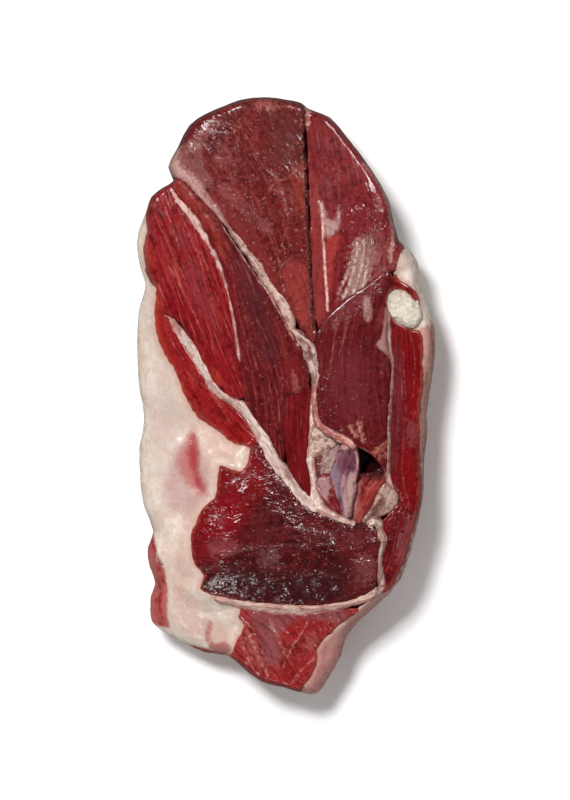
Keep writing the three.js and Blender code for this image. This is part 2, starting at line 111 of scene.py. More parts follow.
LEAN_AREA = [
    (-94.5, 133.5), (-92, 118.5), (-91, 109), (-93, 100.5), (-92, 84), (-86, 71.5), (-87, 61), (-86.5, 45),
    (-80.5, 28), (-75, 20), (-71, 10), (-65.5, -3.5), (-57.5, -14), (-44, -23), (-35, -31), (-28, -32),
    (-24, -33.5), (-25, -42), (-29, -49), (-35.5, -48), (-43.5, -45), (-45, -55.5), (-47, -67.5),
    (-55.5, -73.5), (-59.5, -82.5), (-63, -94), (-60.5, -111), (-54.5, -118), (-57.5, -127.5),
    (-43, -132.5), (-30, -138), (-32, -146), (-28, -152), (-33.5, -163), (-35.5, -173.5), (-27.5, -181),
    (-16, -189.5), (-1.5, -193.5), (8.5, -195.5), (14.5, -188.5), (20, -177.5), (21, -168), (27, -159),
    (36, -151), (47, -142.5), (57.5, -134.5), (67, -127.5), (74.5, -116.5), (79.5, -102.5), (83.5, -88),
    (88, -72.5), (88.5, -59), (88, -42), (88.5, -22), (88.5, -8.5), (90, 8), (90, 23.5), (90.5, 37),
    (88.5, 43.5), (81.5, 45), (73.5, 49.5), (68.5, 56.5), (66.5, 63), (69, 69), (74.5, 71.5),
    (79.5, 69.5), (84.5, 63.5), (87, 57), (88.5, 54.5), (88, 64), (83.5, 72.5), (77, 76.5), (72.5, 82),
    (75, 93), (79, 105), (77.5, 128.5), (69.5, 148.5), (53, 173.5), (36, 192.5), (12.5, 205.5),
    (-10.5, 209.5), (-34, 207), (-57.5, 197.5), (-74.5, 182), (-81.5, 165.5), (-88, 151), (-91, 141.5),
]

# Colours, as seen under the studio light
# Painted shade: a near-black red for the core, which shows only at the bottom of gaps and in the bone
# hollow
PAINTED_SHADE_RED = (40, 10, 13)
THIN_EDGE = (158, 62, 46)
THREAD = (170, 96, 88)
FLECK = (180, 126, 116)

# A mark fades over soft millimetres, wanders by ragged, is raised by lift and covers by amount.
Mark = namedtuple("Mark", "name closed paths width colour soft ragged lift amount gloss")


def patch(name, colour, *outlines, soft=1.5, ragged=1.2, lift=0.0, amount=1.0, gloss=0.0):
    """An area of another colour, inside one or more outlines."""
    return Mark(name, True, outlines, 0, colour, soft, ragged, lift, amount, gloss)


def lines(name, colour, width, *paths, soft=0.5, ragged=0.7, lift=0.0, amount=1.0, gloss=0.0):
    """Lines of another colour, such as thin fat or sinew."""
    return Mark(name, False, paths, width, colour, soft, ragged, lift, amount, gloss)


# Each muscle: its outline, level and swell as in the solids, the line that its fibres follow, its
# three colours from deep to bright, and what lies on it. Streaks are pale threads along the fibres,
# flecks are pale dots, lumps, wrinkles and grain set how rough it is from coarse to fine, and wet
# is how much it shines. Rise, where it is given, is how fully the muscle swells.
MUSCLES = {
    "broad_top_muscle": {
        "level": 2, "swell": 4,
        "outline": [(-86, 152), (-79, 171), (-67.5, 189), (-47.5, 201.5), (-21, 208.5), (9.5, 204.5),
            (12.5, 195), (12.5, 172), (14, 152), (15.5, 118.5), (17.5, 75), (20, 39), (15.5, 35.5),
            (8, 50), (0.5, 61), (-7.5, 72.5), (-16, 84.5), (-24, 94.5), (-32, 104.5), (-41, 114.5),
            (-51, 126), (-59.5, 135.5), (-67.5, 143.5), (-75.5, 146.5)],
        "fibre": [(-46, 178), (-20, 140), (12, 60)],
        "colours": ((82, 13, 14), (102, 25, 24), (140, 62, 56)),
        "streaks": 0.1, "flecks": 1.0, "lumps": 0.22, "wrinkles": 0.05, "grain": 0.2, "wet": 0.6,
        "marks": [
            patch("brown_cast", (92, 38, 34), [(-12.5, 189.5), (1, 190.5), (9.5, 184.5), (12, 174),
                (12.5, 159.5), (13, 146.5), (5.5, 144.5), (-3, 148.5), (-7, 154), (-10.5, 160.5),
                (-12.5, 169.5), (-13.5, 179)], soft=8, ragged=3, amount=0.7),
            patch("orange_specks", (134, 50, 38), [(5.5, 152), (13.5, 154), (14.5, 138.5), (15, 124.5),
                (10.5, 119.5), (5.5, 129), (3.5, 140.5)], soft=3, ragged=9, amount=0.7),
            patch("dark_wet_spots", (82, 28, 28), [(-50.5, 186.5), (-45, 187.5), (-37.5, 186.5),
                (-33.5, 184.5), (-37.5, 180), (-45, 178), (-49.5, 174), (-53, 165.5), (-51, 160.5),
                (-45, 160.5), (-47, 167.5), (-43.5, 174), (-35.5, 178)], soft=3, ragged=3, amount=0.75,
                gloss=1.0),
            patch("pink_patches", (144, 80, 78), [(-47, 139.5), (-39.5, 139.5), (-32, 135), (-26, 129),
                (-18.5, 121.5), (-10.5, 115.5), (-9, 110), (-15.5, 109), (-22, 114), (-29, 121.5),
                (-37.5, 129), (-45, 134)], soft=3, ragged=7, amount=0.4, gloss=0.6),
            patch("dull_band", (114, 38, 36), [(-48, 136), (-41.5, 129), (-32, 121.5), (-23, 112),
                (-18.5, 104), (-13.5, 95.5), (-9, 85), (-4, 74), (2, 60), (-3, 62), (-9, 70.5),
                (-15.5, 82), (-22, 92.5), (-29, 103), (-35.5, 112), (-42.5, 120.5), (-47, 127),
                (-51, 132)], soft=1.5, amount=0.9),
            patch("bright_tip", (142, 52, 48), [(-1.5, 84), (5, 92), (14.5, 84), (17.5, 54.5), (12, 46),
                (4, 62)], soft=3, ragged=2.5, amount=0.8),
            patch("grey_skin", (128, 76, 72), [(-51, 188), (-56.5, 178), (-63.5, 172.5), (-71, 167.5),
                (-75, 162.5), (-77, 156), (-73, 149), (-64.5, 143.5), (-58.5, 139.5), (-51, 138.5),
                (-48, 143.5), (-54, 151), (-55.5, 160.5), (-55.5, 169.5), (-54, 178)], soft=1.2,
                ragged=1.2, amount=0.72),
            patch("pale_corner", (188, 148, 140), [(-71.5, 167), (-76, 161.5), (-80, 153.5), (-77, 147),
                (-70, 143), (-62.5, 136), (-54.5, 128), (-47, 121), (-39.5, 113), (-43.5, 121.5),
                (-49, 129), (-54.5, 136), (-56.5, 140.5), (-64.5, 148.5), (-70, 154), (-72, 158),
                (-71, 162)], soft=2.8, ragged=1.5, lift=0.3, amount=0.85),
            patch("dark_rim", (92, 20, 22), [(-76, 167), (-73, 178), (-66, 186), (-56.5, 193), (-48, 197),
                (-50, 187), (-54, 181), (-60, 174), (-67, 168)], soft=1, amount=0.95, gloss=0.5),
            patch("pink_rim_spots", (182, 106, 96), [(-20.5, 195), (-15.5, 197), (-8, 195), (-4, 191.5),
                (-9, 189.5), (-14.5, 191.5), (-18.5, 189.5), (-20.5, 192.5)], soft=2, ragged=6,
                amount=0.4, gloss=0.4),
            patch("crack_lip", (112, 52, 46), [(11, 190), (14.5, 190), (16, 150), (18, 100), (21, 44),
                (16.5, 40), (14, 80), (12.5, 120), (11, 160)], soft=1.4, ragged=5, amount=0.7, gloss=0.4),
            lines("web", (156, 100, 88), 0.45, [(-12, 193), (-10.5, 185), (-8.5, 178)], [(-32, 183),
                (-25.5, 171), (-18.5, 158), (-12, 149), (-6, 142.5)], [(-6, 142.5), (-2, 131), (1, 119),
                (1.5, 115), (-1, 107), (-3, 99)], [(-6, 142.5), (-10, 138), (-12, 133)], [(-6, 142.5),
                (0, 144), (6, 149)], [(3.5, 92.5), (0, 89), (-3.5, 85.5), (-4, 80)], [(-3.5, 85.5),
                (-6, 94), (-10, 104), (-13, 111)], soft=0.6, lift=0.3, amount=0.65, gloss=0.4),
            lines("crack_shade", (34, 8, 10), 1.0, [(11.6, 193), (11.8, 172), (13, 152), (14.6, 120),
                (16.4, 80), (18.8, 44)], soft=0.7, ragged=2.2, lift=-0.5, amount=0.95),
            lines("edge_line", (198, 144, 136), 0.5, [(-63.5, 139), (-54.5, 130), (-47, 122.5),
                (-41.5, 116), (-35.5, 110)], soft=0.6, lift=0.3, amount=0.8),
        ],
    },
    "right_shoulder_muscle": {
        "level": 0, "swell": 4,
        "outline": [(12, 200.5), (24, 196.5), (39.5, 182), (57.5, 160), (72.5, 138.5), (80.5, 108.5),
            (76.5, 94), (73.5, 85), (66.5, 83), (55, 75), (44, 67.5), (35, 60.5), (27, 53), (21.5, 45),
            (19, 55), (17, 85), (15.5, 122), (14, 165.5), (12.5, 189)],
        "fibre": [(22, 180), (32, 120), (30, 60)],
        "colours": ((98, 18, 22), (116, 32, 34), (136, 50, 50)),
        "streaks": 0.1, "flecks": 0.25, "lumps": 0.18, "wrinkles": 0.03, "grain": 0.1, "wet": 0.7,
        "marks": [
            patch("bright_side", (137, 50, 50), [(15, 150), (21, 140), (23, 120), (24, 90), (26, 60),
                (22, 47), (19, 60), (17, 95), (15.5, 125)], soft=2, amount=0.8),
            patch("red_outer_side", (138, 36, 40), [(38, 178), (50, 163), (62, 147), (69, 130), (66, 120),
                (60, 132), (52, 146), (42, 160)], soft=5, ragged=2, amount=0.7),
            patch("dark_speckled", (114, 36, 40), [(38, 130), (50, 128), (62, 118), (68, 104), (62, 98),
                (50, 108), (40, 108), (36, 118)], soft=5, ragged=3, amount=0.7, gloss=1.0),
            patch("bright_wedge", (164, 56, 52), [(26, 106.5), (31.5, 106.5), (35, 106), (33, 96),
                (31, 85), (29.5, 73), (28, 62.5), (27, 71.5), (26, 90.5)], soft=2.5, ragged=2,
                amount=0.7),
            patch("tan_fascia", (166, 130, 120), [(44, 99), (48, 104), (53.5, 106), (57, 104), (60, 97),
                (59, 88), (56, 80), (52.5, 70), (48, 67.5), (43, 69), (39, 64.5), (36, 62), (40, 74),
                (43, 87)], soft=3, ragged=9, lift=0.3, amount=0.75, gloss=1.2),
            lines("fascia_fans", (216, 194, 184), 0.6, [(47, 102), (46, 90.5), (43, 78.5), (38, 66)],
                [(52, 104), (50.5, 90.5), (48, 78.5), (44, 68)], [(57, 102), (55, 93), (52.5, 81),
                (50, 70)], [(43, 90), (39, 78), (34, 68)], soft=0.9, ragged=1.4, lift=0.5, amount=0.85,
                gloss=1.2),
            patch("wet_speckles", (136, 72, 68), [(50, 106), (60, 112), (68, 102), (74, 90), (68, 78),
                (60, 76), (56, 84)], soft=3, ragged=6, lift=0.2, amount=0.5, gloss=2.0),
            patch("silver_tongue", (184, 146, 142), [(22.5, 127.5), (24, 128), (26, 121.5), (29.5, 115.5),
                (33.5, 119), (35, 125.5), (35.5, 117), (34, 110.5), (29.5, 106), (26, 107), (24.5, 116)],
                soft=2.2, ragged=2, amount=0.8, gloss=0.5),
            lines("white_sinew", (224, 180, 170), 0.8, [(22, 128.5), (24, 127)], [(23.5, 126),
                (24.2, 116), (24.6, 105), (25.2, 94), (26, 81), (27, 67.5), (27.5, 57)], lift=0.6,
                gloss=0.6),
            # Pink fat along the rims; the last line, along the top edge, is a painted highlight
            lines("rim_fat_and_highlight", (206, 150, 142), 1.4, [(52, 154), (57, 148), (61.5, 142), (65.5, 134.5)],
                [(65.5, 134.5), (68.5, 124), (70.5, 110.5), (70, 98.5), (69, 90.5)], [(8, 193.5),
                (12, 193), (15, 189), (14, 184), (13.5, 177.5)], [(15, 192.5), (24, 189.5), (35, 181)],
                soft=1, ragged=2.4, lift=0.3, amount=0.75, gloss=0.8),
            lines("faint_line", (160, 96, 92), 0.45, [(35, 153.5), (35.5, 142.5), (35, 132), (34, 121.5)],
                amount=0.45),
        ],
    },
    "middle_right_muscle": {
        "level": 2, "swell": 4,
        "outline": [(21.5, 45), (27, 53.5), (35, 61), (44, 68.5), (55, 75.5), (66.5, 84), (70.5, 77),
            (67, 67), (67.5, 55), (66.5, 40), (68.5, 28), (70.5, 14.5), (69, -2), (67.5, -19),
            (67.5, -35.5), (66.5, -51), (61.5, -43), (55.5, -37), (48, -33), (41, -27.5), (33, -23),
            (24, -19), (21, -8.5), (21, 8), (21, 25), (19.5, 37)],
        "fibre": [(46, 72), (40, 20), (44, -30)],
        "colours": ((78, 6, 12), (94, 18, 22), (110, 36, 38)),
        "streaks": 0.25, "flecks": 0.35, "lumps": 0.2, "wrinkles": 0.05, "grain": 0.14, "wet": 0.7,
        "marks": [
            patch("purple_middle", (104, 36, 42), [(30, 28), (44, 34), (54, 20), (56, -6), (44, -20),
                (32, -10), (28, 10)], soft=9, ragged=2, amount=0.6),
            patch("wet_lip", (92, 22, 27), [(21, 20), (26, 14), (31, 0), (34, -14), (40, -22), (30, -21),
                (22, -12)], soft=3, ragged=3, amount=0.6, gloss=2.2),
            patch("wet_top", (120, 54, 54), [(30, 54), (38, 60), (50, 70), (62, 78), (64, 70), (54, 62),
                (42, 54), (32, 46)], soft=3, ragged=4, amount=0.5, gloss=1.5),
            lines("orange_threads", (152, 86, 76), 0.5, [(37.5, 59.5), (35, 50), (32, 41), (31, 31.5),
                (29.5, 22), (28, 14)], [(43, 54.5), (39.5, 43.5), (37, 34), (35, 27.5)], lift=0.3,
                amount=0.75),
            lines("tan_border", (172, 124, 110), 0.7, [(27, 56.5), (32, 61), (37.5, 65), (43, 69),
                (49.5, 73.5), (57.5, 79), (65.5, 84)], soft=0.8, ragged=1.6, lift=0.4, amount=0.7,
                gloss=0.5),
            patch("pale_patch", (174, 134, 126), [(51, 66), (55, 65), (56.5, 58), (55.5, 51), (53, 50),
                (51, 57)], soft=1.5, amount=0.75),
            patch("orange_spot", (122, 44, 44), [(61, 57), (66, 58), (66.5, 48), (62, 47)], soft=3,
                amount=0.7),
            patch("side_skin", (168, 126, 120), [(66, 60), (68.5, 58), (69.5, 45), (70.5, 31.5),
                (69.5, 23.5), (66, 29), (60, 34), (62, 38), (64.5, 46)], soft=1, ragged=1.5, lift=0.3,
                amount=0.85, gloss=0.4),
            lines("corner_fat", (196, 136, 118), 1.3, [(48, -16.5), (48.5, -22), (51, -28)], [(43, -20),
                (46, -26)], soft=1.3, ragged=3, lift=0.3, amount=0.75, gloss=1.2),
            lines("second_corner_fat", (188, 112, 90), 1.5, [(58.5, -37), (62.5, -34), (66, -31)],
                [(62, -41), (66, -38)], soft=1.2, ragged=3, lift=0.4, amount=0.75, gloss=1.2),
            lines("corner_threads", (214, 150, 124), 0.45, [(48, -18.5), (49, -24), (51, -30)], soft=0.6,
                lift=0.4, amount=0.85),
        ],
    },
    "right_band_of_muscle": {
        "level": -3, "swell": 4,
        "outline": [(68.5, 65), (70, 79), (76, 81), (84.5, 77.5), (92.5, 61.5), (100.5, 45), (106.5, 25),
            (103, -2), (100.5, -22), (99, -49), (98, -75.5), (88.5, -106), (76.5, -129.5), (66.5, -136),
            (63.5, -128), (63, -116), (63, -102.5), (65, -94.5), (61.5, -86.5), (68.5, -77), (75.5, -69),
            (72.5, -60.5), (67.5, -52.5), (68.5, -35.5), (68.5, -19), (69.5, -2), (71, 14.5), (69, 28),
            (67, 41.5), (68.5, 55)],
        "fibre": [(82, 60), (84, 0), (82, -60), (70, -125)],
        "colours": ((84, 2, 8), (104, 10, 16), (126, 34, 34)),
        "streaks": 0.55, "flecks": 0.25, "lumps": 0.25, "wrinkles": 0.1, "grain": 0.18, "wet": 0.8,
        "marks": [
            patch("bright_bands", (116, 4, 12), [(77, 46), (84.5, 47), (92.5, 45.5), (94.5, 31.5),
                (93, 17), (89, -2), (87.5, -15.5), (81.5, -23.5), (80, -8.5), (79, 11.5), (78, 30)],
                [(76, -37), (83, -33), (88.5, -35.5), (91, -49), (90, -63.5), (84.5, -74.5), (79, -69),
                (76, -54.5)], soft=3, ragged=2.5, amount=0.8),
            patch("purple_side", (106, 34, 38), [(69, 30), (75, 36), (77, 10), (76, -14), (75, -36),
                (72, -50), (68, -48), (68, -20), (70, 8)], [(92, 46), (97, 36), (97, 16), (93, -8),
                (91, -26), (88, -22), (90, 0), (94, 20), (94, 36)], soft=1.6, ragged=2, amount=0.75),
            lines("threads", (158, 80, 70), 0.45, [(81.5, 42), (84.5, 31.5), (85, 17), (84, 0.5)],
                [(90, 30), (90, 11.5), (87, -4.5), (83, -18)], [(77.5, 30), (78.5, 8.5), (79, -11.5),
                (77.5, -29), (76.5, -49)], [(76.5, -49), (79, -62.5), (81.5, -71.5), (80.5, -82.5)],
                [(71, -57), (75, -65), (79, -73)], [(73.5, -100), (79, -89), (84.5, -79.5)],
                [(72.5, -109), (77.5, -100), (83, -92)], lift=0.3, amount=0.6),
            patch("speckle", (128, 58, 60), [(80.5, -15.5), (87, -18), (90, -26), (88, -33), (80.5, -30)],
                soft=2, ragged=6, amount=0.6, gloss=0.8),
            patch("wet_sinews", (92, 14, 20), [(66, -54), (74, -62), (80, -76), (84, -84), (78, -96),
                (70, -104), (66, -98), (66, -88), (72, -76), (70, -66)], soft=3, ragged=6, lift=0.2,
                amount=0.6, gloss=2.0),
            patch("pale_sinews", (128, 66, 68), [(78, -84), (86, -78), (86, -92), (80, -106), (74, -112),
                (74, -100)], soft=2, ragged=7, amount=0.6, gloss=0.4),
        ],
    },
    "long_left_muscle": {
        "level": -1, "swell": 4,
        "outline": [(-99, 125.5), (-91, 142), (-79, 147.5), (-73, 138.5), (-63.5, 125.5), (-53.5, 110),
            (-45.5, 94), (-39.5, 75.5), (-36, 58.5), (-33, 38), (-29.5, 18), (-28, 0), (-36, -0.5),
            (-43.5, 5.5), (-49, 11.5), (-53, 19), (-56.5, 26), (-59.5, 33), (-64.5, 41), (-69.5, 49.5),
            (-77, 53), (-86, 57), (-91, 65), (-95, 75), (-99, 98.5)],
        "fibre": [(-84, 134), (-66, 88), (-50, 44), (-34, 4)],
        "colours": ((110, 6, 14), (128, 20, 26), (148, 44, 44)),
        "streaks": 0.8, "flecks": 0.12, "lumps": 0.15, "wrinkles": 0.03, "grain": 0.08, "wet": 0.6,
        "marks": [
            patch("lilac_film", (126, 40, 47), [(-67, 92), (-60.5, 92), (-55, 80), (-50, 66), (-46, 50),
                (-52, 50), (-60.5, 62), (-65.5, 75.5)], [(-76, 112), (-68, 108), (-62, 98), (-68, 96),
                (-74, 104)], soft=3.5, ragged=2, amount=0.65),
            patch("orange_edge", (160, 48, 32), [(-91, 78.5), (-86, 73), (-83, 65), (-84.5, 55.5),
                (-88.5, 57), (-91, 66.5)], [(-93, 104), (-89, 98), (-88, 88), (-92, 84), (-96, 96)],
                soft=3, amount=0.65),
            patch("carmine_middle", (130, 8, 22), [(-84, 132), (-78, 130), (-72, 118), (-76, 112),
                (-84, 120)], [(-76, 66), (-68, 62), (-62, 50), (-66, 44), (-76, 52)], [(-50, 34),
                (-44, 32), (-38, 14), (-42, 8), (-50, 16)], soft=4, amount=0.6),
            patch("bright_spot", (178, 62, 42), [(-48.5, 19), (-46, 17), (-43.5, 12), (-43, 7.5),
                (-45.5, 9), (-48.5, 14)], soft=2, amount=0.9),
            lines("threads", (190, 106, 96), 0.4, [(-89, 128), (-86, 118.5), (-81, 108), (-76.5, 97),
                (-71, 86.5), (-65.5, 75.5)], [(-83, 133.5), (-79.5, 124), (-75, 112), (-70.5, 100)],
                [(-69.5, 121.5), (-65.5, 110.5), (-60.5, 98.5), (-55.5, 86.5), (-53.5, 74.5),
                (-49.5, 62.5), (-45.5, 50)], [(-57.5, 97), (-52.5, 86.5), (-48, 73), (-44, 61)],
                [(-77.5, 86.5), (-72.5, 78.5), (-67, 67.5), (-60.5, 54.5), (-55, 42)], lift=0.25,
                amount=0.7),
        ],
    },
    "lower_left_strip": {
        "level": -4, "swell": 3,
        "outline": [(-91, 61.5), (-84.5, 59.5), (-77, 52.5), (-74.5, 45), (-69.5, 37.5), (-65, 30),
            (-61, 24), (-57.5, 17.5), (-52.5, 10.5), (-49, 4), (-44, -1.5), (-37, -5.5), (-31, -10.5),
            (-26, -16), (-23, -23), (-20, -28), (-24, -35.5), (-32, -37), (-43, -30), (-57.5, -22),
            (-67.5, -10), (-75, 4.5), (-84.5, 23.5), (-90.5, 41.5)],
        "fibre": [(-84, 58), (-74, 32), (-60, 6), (-30, -26)],
        "colours": ((120, 6, 12), (134, 18, 22), (152, 44, 38)),
        "streaks": 0.5, "flecks": 0.2, "lumps": 0.2, "wrinkles": 0.05, "grain": 0.12, "wet": 0.7,
        "marks": [
            patch("orange_edge", (156, 42, 30), [(-87, 66.5), (-83, 67.5), (-84.5, 55.5), (-81.5, 45),
                (-77.5, 33), (-73.5, 21), (-77.5, 26), (-83, 39.5), (-86.5, 53)], soft=3, amount=0.6),
            patch("wet_rim", (150, 60, 56), [(-64, -6), (-56, -10), (-46, -20), (-38, -28), (-44, -30),
                (-56, -20)], soft=2, ragged=4, amount=0.5, gloss=1.4),
            lines("threads", (184, 98, 86), 0.4, [(-81.5, 54.5), (-77.5, 42), (-72.5, 31.5), (-65.5, 21)],
                [(-67, 18), (-60.5, 11.5), (-52.5, 6), (-45.5, -3.5), (-36, -18)], lift=0.2, amount=0.6),
        ],
    },
    "dark_left_muscle": {
        "level": 0, "swell": 4,
        "outline": [(-75.5, 146.5), (-67.5, 143.5), (-59.5, 135.5), (-51, 126), (-43, 115), (-36, 104.5),
            (-27.5, 92), (-19.5, 80.5), (-10.5, 69), (-2, 55.5), (5.5, 43), (11.5, 30), (14.5, 17),
            (14.5, 8), (8, 2.5), (0, 0), (-0.5, -8.5), (-1.5, -21), (-1, -34), (-2, -43), (-7, -36.5),
            (-12, -26), (-19, -18), (-24, -9.5), (-27.5, -0.5), (-29, 14.5), (-32, 37), (-36, 57),
            (-39.5, 75.5), (-45.5, 94), (-53.5, 110), (-63.5, 125.5), (-73, 138.5)],
        "fibre": [(-72, 142), (-44, 102), (-24, 56), (-8, 10), (-4, -28)],
        "colours": ((82, 10, 14), (98, 20, 22), (118, 40, 38)),
        "streaks": 0.55, "flecks": 0.4, "lumps": 0.15, "wrinkles": 0.03, "grain": 0.12, "wet": 0.6,
        "marks": [
            patch("dark_middle", (82, 26, 31), [(-36, 98), (-30, 92), (-22, 80), (-13, 64), (-8, 46),
                (-8, 22), (-15, 24), (-20, 44), (-27, 60), (-32, 78)], soft=7, ragged=2, amount=0.9),
            patch("orange_top", (138, 44, 38), [(-76.5, 146.5), (-69.5, 144), (-61.5, 134.5),
                (-52.5, 122), (-44, 108), (-38, 92), (-42, 92), (-48, 104), (-56.5, 116), (-64.5, 126.5),
                (-72.5, 136)], soft=2.5, ragged=2, amount=0.75),
            patch("red_flank", (112, 22, 27), [(-40, 92), (-36, 88), (-32, 64), (-28, 40), (-25, 18),
                (-28, 16), (-33, 46), (-38, 72)], [(2, 30), (8, 24), (11, 12), (7, 4), (1, 2), (-2, 14)],
                soft=2.5, ragged=1.5, amount=0.65),
            patch("pale_spot", (152, 82, 76), [(4, 20), (7, 12), (9.5, 3.5), (8.5, -0.5), (5.5, 3.5),
                (4, 10)], soft=1.5, ragged=3, amount=0.7),
            lines("threads", (160, 88, 80), 0.4, [(-73.5, 144), (-67, 137.5), (-59, 128), (-51, 117),
                (-47, 109)], [(-31, 70.5), (-27, 53), (-23, 35.5), (-19, 18)], [(-36, 86.5),
                (-33.5, 67.5), (-29.5, 50), (-25.5, 31.5), (-21.5, 11.5)], [(-15, 10), (-10, -6),
                (-6, -22)], [(-4, 30), (-2, 14), (-3, -2)], lift=0.25, amount=0.5),
            lines("tan_edge", (184, 134, 116), 0.55, [(-12, 69.5), (-9, 63.5), (-3, 53), (1.5, 44.5),
                (5.5, 37)], soft=0.6, lift=0.5, amount=0.85),
        ],
    },
    "small_pointed_muscle": {
        "level": -2, "swell": 2,
        "outline": [(0, 0), (8, 2.5), (14.5, 8.5), (16, -2), (15.5, -19), (14, -32), (13.5, -42),
            (15.5, -52.5), (17, -68.5), (11.5, -63), (6, -55), (1.5, -45.5), (-0.5, -34), (-1.5, -19)],
        "fibre": [(7, 4), (7, -30), (14, -66)],
        "colours": ((92, 3, 10), (108, 10, 16), (122, 26, 30)),
        "streaks": 0.45, "flecks": 0.1, "lumps": 0.15, "wrinkles": 0.02, "grain": 0.08, "wet": 0.6,
        "marks": [],
    },
    "dark_lower_muscle": {
        "level": 3, "swell": 5, "rise": 1,
        "outline": [(-24, -31), (-19, -30), (-11, -39), (-3.5, -49), (4.5, -61), (11.5, -69),
            (18.5, -75.5), (27, -79), (37, -83), (46, -86), (55, -84.5), (61.5, -88), (64.5, -97),
            (61.5, -106.5), (62.5, -116), (57.5, -126.5), (51, -132.5), (44, -137.5), (29.5, -138),
            (9.5, -138), (-10.5, -137.5), (-24, -136.5), (-41, -133.5), (-62.5, -130.5), (-61.5, -119.5),
            (-67, -110.5), (-67, -96), (-64.5, -82.5), (-59, -73), (-49.5, -67), (-49, -55.5),
            (-49, -43.5), (-43, -41), (-34, -44), (-29, -43.5), (-28, -35.5)],
        "fibre": [(-60, -104), (0, -96), (60, -92)],
        "colours": ((56, 4, 8), (80, 14, 18), (108, 40, 42)),
        "streaks": 0.08, "flecks": 0.6, "lumps": 0.4, "wrinkles": 1.0, "grain": 0.16, "wet": 1.0,
        "marks": [
            patch("red_left", (116, 10, 20), [(-48, -46), (-40, -44), (-30, -46), (-26, -34), (-20, -34),
                (-10, -48), (-12, -62), (-22, -72), (-30, -88), (-38, -104), (-56, -110), (-64, -100),
                (-60, -80), (-50, -70)], soft=7, ragged=4, amount=0.8),
            patch("bright_corner", (118, 0, 12), [(-48, -71), (-40, -64), (-32, -64), (-27, -72),
                (-32, -84), (-42, -90), (-53.5, -94), (-59, -87), (-56.5, -79.5)], soft=5, ragged=3,
                amount=0.85),
            patch("dark_band", (60, 12, 16), [(-60, -122), (-48, -118), (-34, -112), (-18, -114),
                (2.5, -116), (24, -113), (38, -110), (42, -120), (34, -132), (14, -135), (-10, -134),
                (-36, -130), (-54, -127)], soft=3, ragged=3, amount=0.92),
            patch("red_right", (94, 24, 30), [(30, -88), (50, -88), (60, -92), (61, -102), (58, -118),
                (48, -130), (38, -128), (42, -112), (34, -98)], soft=5, ragged=4, amount=0.7),
            patch("grey_films", (122, 88, 88), [(-18, -104), (-12, -100), (-6, -102), (-3, -108),
                (-9, -112), (-16, -110)], soft=3, ragged=8, amount=0.35, gloss=1.0),
            # A raised glossy bead whose pale colour is a painted highlight
            lines("wet_bead", (150, 118, 114), 0.6, [(-10, -99), (-8, -101), (-8.5, -104.5)], soft=0.6,
                lift=1.3, amount=0.6, gloss=2.0),
            patch("lilac_film", (130, 60, 66), [(-52.5, -96), (-43, -92), (-33, -95), (-31, -101),
                (-40, -105), (-50, -104)], soft=2, ragged=6, amount=0.6, gloss=0.5),
            patch("pale_right_film", (126, 68, 66), [(48, -104), (58, -106), (59, -118), (52, -126),
                (46, -118)], soft=2, ragged=7, amount=0.55, gloss=0.5),
            # Raised glossy ridges; their paler colour is partly a painted highlight along them
            lines("ridge", (106, 52, 54), 0.8, [(-58, -113), (-50, -112), (-41.5, -105.5), (-34, -102)],
                [(-34, -102), (-24, -100), (-12, -99), (2.5, -98), (16, -99), (30, -97)], [(-12, -120),
                (6, -119), (20, -117), (34, -118)], soft=0.9, ragged=1.5, lift=0.9, amount=0.5,
                gloss=1.6),
            patch("wet_top_edge", (98, 28, 33), [(-16, -44), (-8, -52), (0, -64), (10, -74), (24, -84),
                (14, -88), (0, -80), (-12, -64)], soft=3, ragged=4, amount=0.3, gloss=0.6),
        ],
    },
    "lobe_at_narrow_end": {
        "level": 1, "swell": 4,
        "outline": [(-35, -137.5), (-24, -142), (-7.5, -143.5), (9.5, -144.5), (29.5, -142), (43, -140.5),
            (49.5, -141.5), (39.5, -151), (28, -161), (23, -168), (24, -177.5), (20, -189.5),
            (13.5, -204.5), (-4, -201.5), (-21, -196.5), (-33.5, -187), (-40, -177.5), (-37.5, -166),
            (-33.5, -156), (-30, -151), (-33.5, -144)],
        "fibre": [(-30, -146), (-10, -166), (8, -192)],
        "colours": ((118, 16, 18), (138, 36, 36), (162, 70, 66)),
        "streaks": 0.6, "flecks": 0.5, "lumps": 0.4, "wrinkles": 0.6, "grain": 0.2, "wet": 0.9,
        "marks": [
            patch("lilac_film", (134, 74, 76), [(-24, -144), (-14, -142), (2.5, -145), (23, -143),
                (42, -141.5), (38, -148), (28, -150), (12, -147), (0, -153), (-6, -162), (-2, -172),
                (-10, -178), (-16, -168), (-18, -156)], soft=2.5, ragged=4, amount=0.75),
            patch("bright_patch", (142, 28, 30), [(-1.5, -153.5), (7, -147.5), (18, -147.5), (28, -150.5),
                (26.5, -157.5), (17.5, -163), (6.5, -162), (-1.5, -161.5)], [(-38, -172), (-30, -168),
                (-24, -178), (-8, -184), (4, -182), (14, -170), (20, -176), (12, -190), (-4, -196),
                (-19, -192), (-30, -184)], [(-32, -146), (-25, -146), (-24, -154), (-30, -160),
                (-34, -152)], soft=3, ragged=4, amount=0.8),
            patch("pink_streaks", (178, 102, 94), [(-26, -156), (-23, -156), (-18, -166), (-13, -178),
                (-19, -178), (-24, -170)], [(12, -160), (18, -156), (22, -162), (16, -168)], soft=2.5,
                ragged=7, amount=0.4, gloss=0.4),
            lines("pale_threads", (206, 136, 126), 0.6, [(-27, -152), (-22, -164), (-15, -178),
                (-12, -186)], [(-10, -149), (-5, -160), (0, -172)], [(14, -150), (8, -160), (2, -170),
                (-2, -180)], [(20, -172), (10, -182), (4, -190)], [(-30, -158), (-27, -170), (-22, -180)],
                soft=0.8, ragged=1.6, lift=0.4, amount=0.65, gloss=0.5),
        ],
    },
}

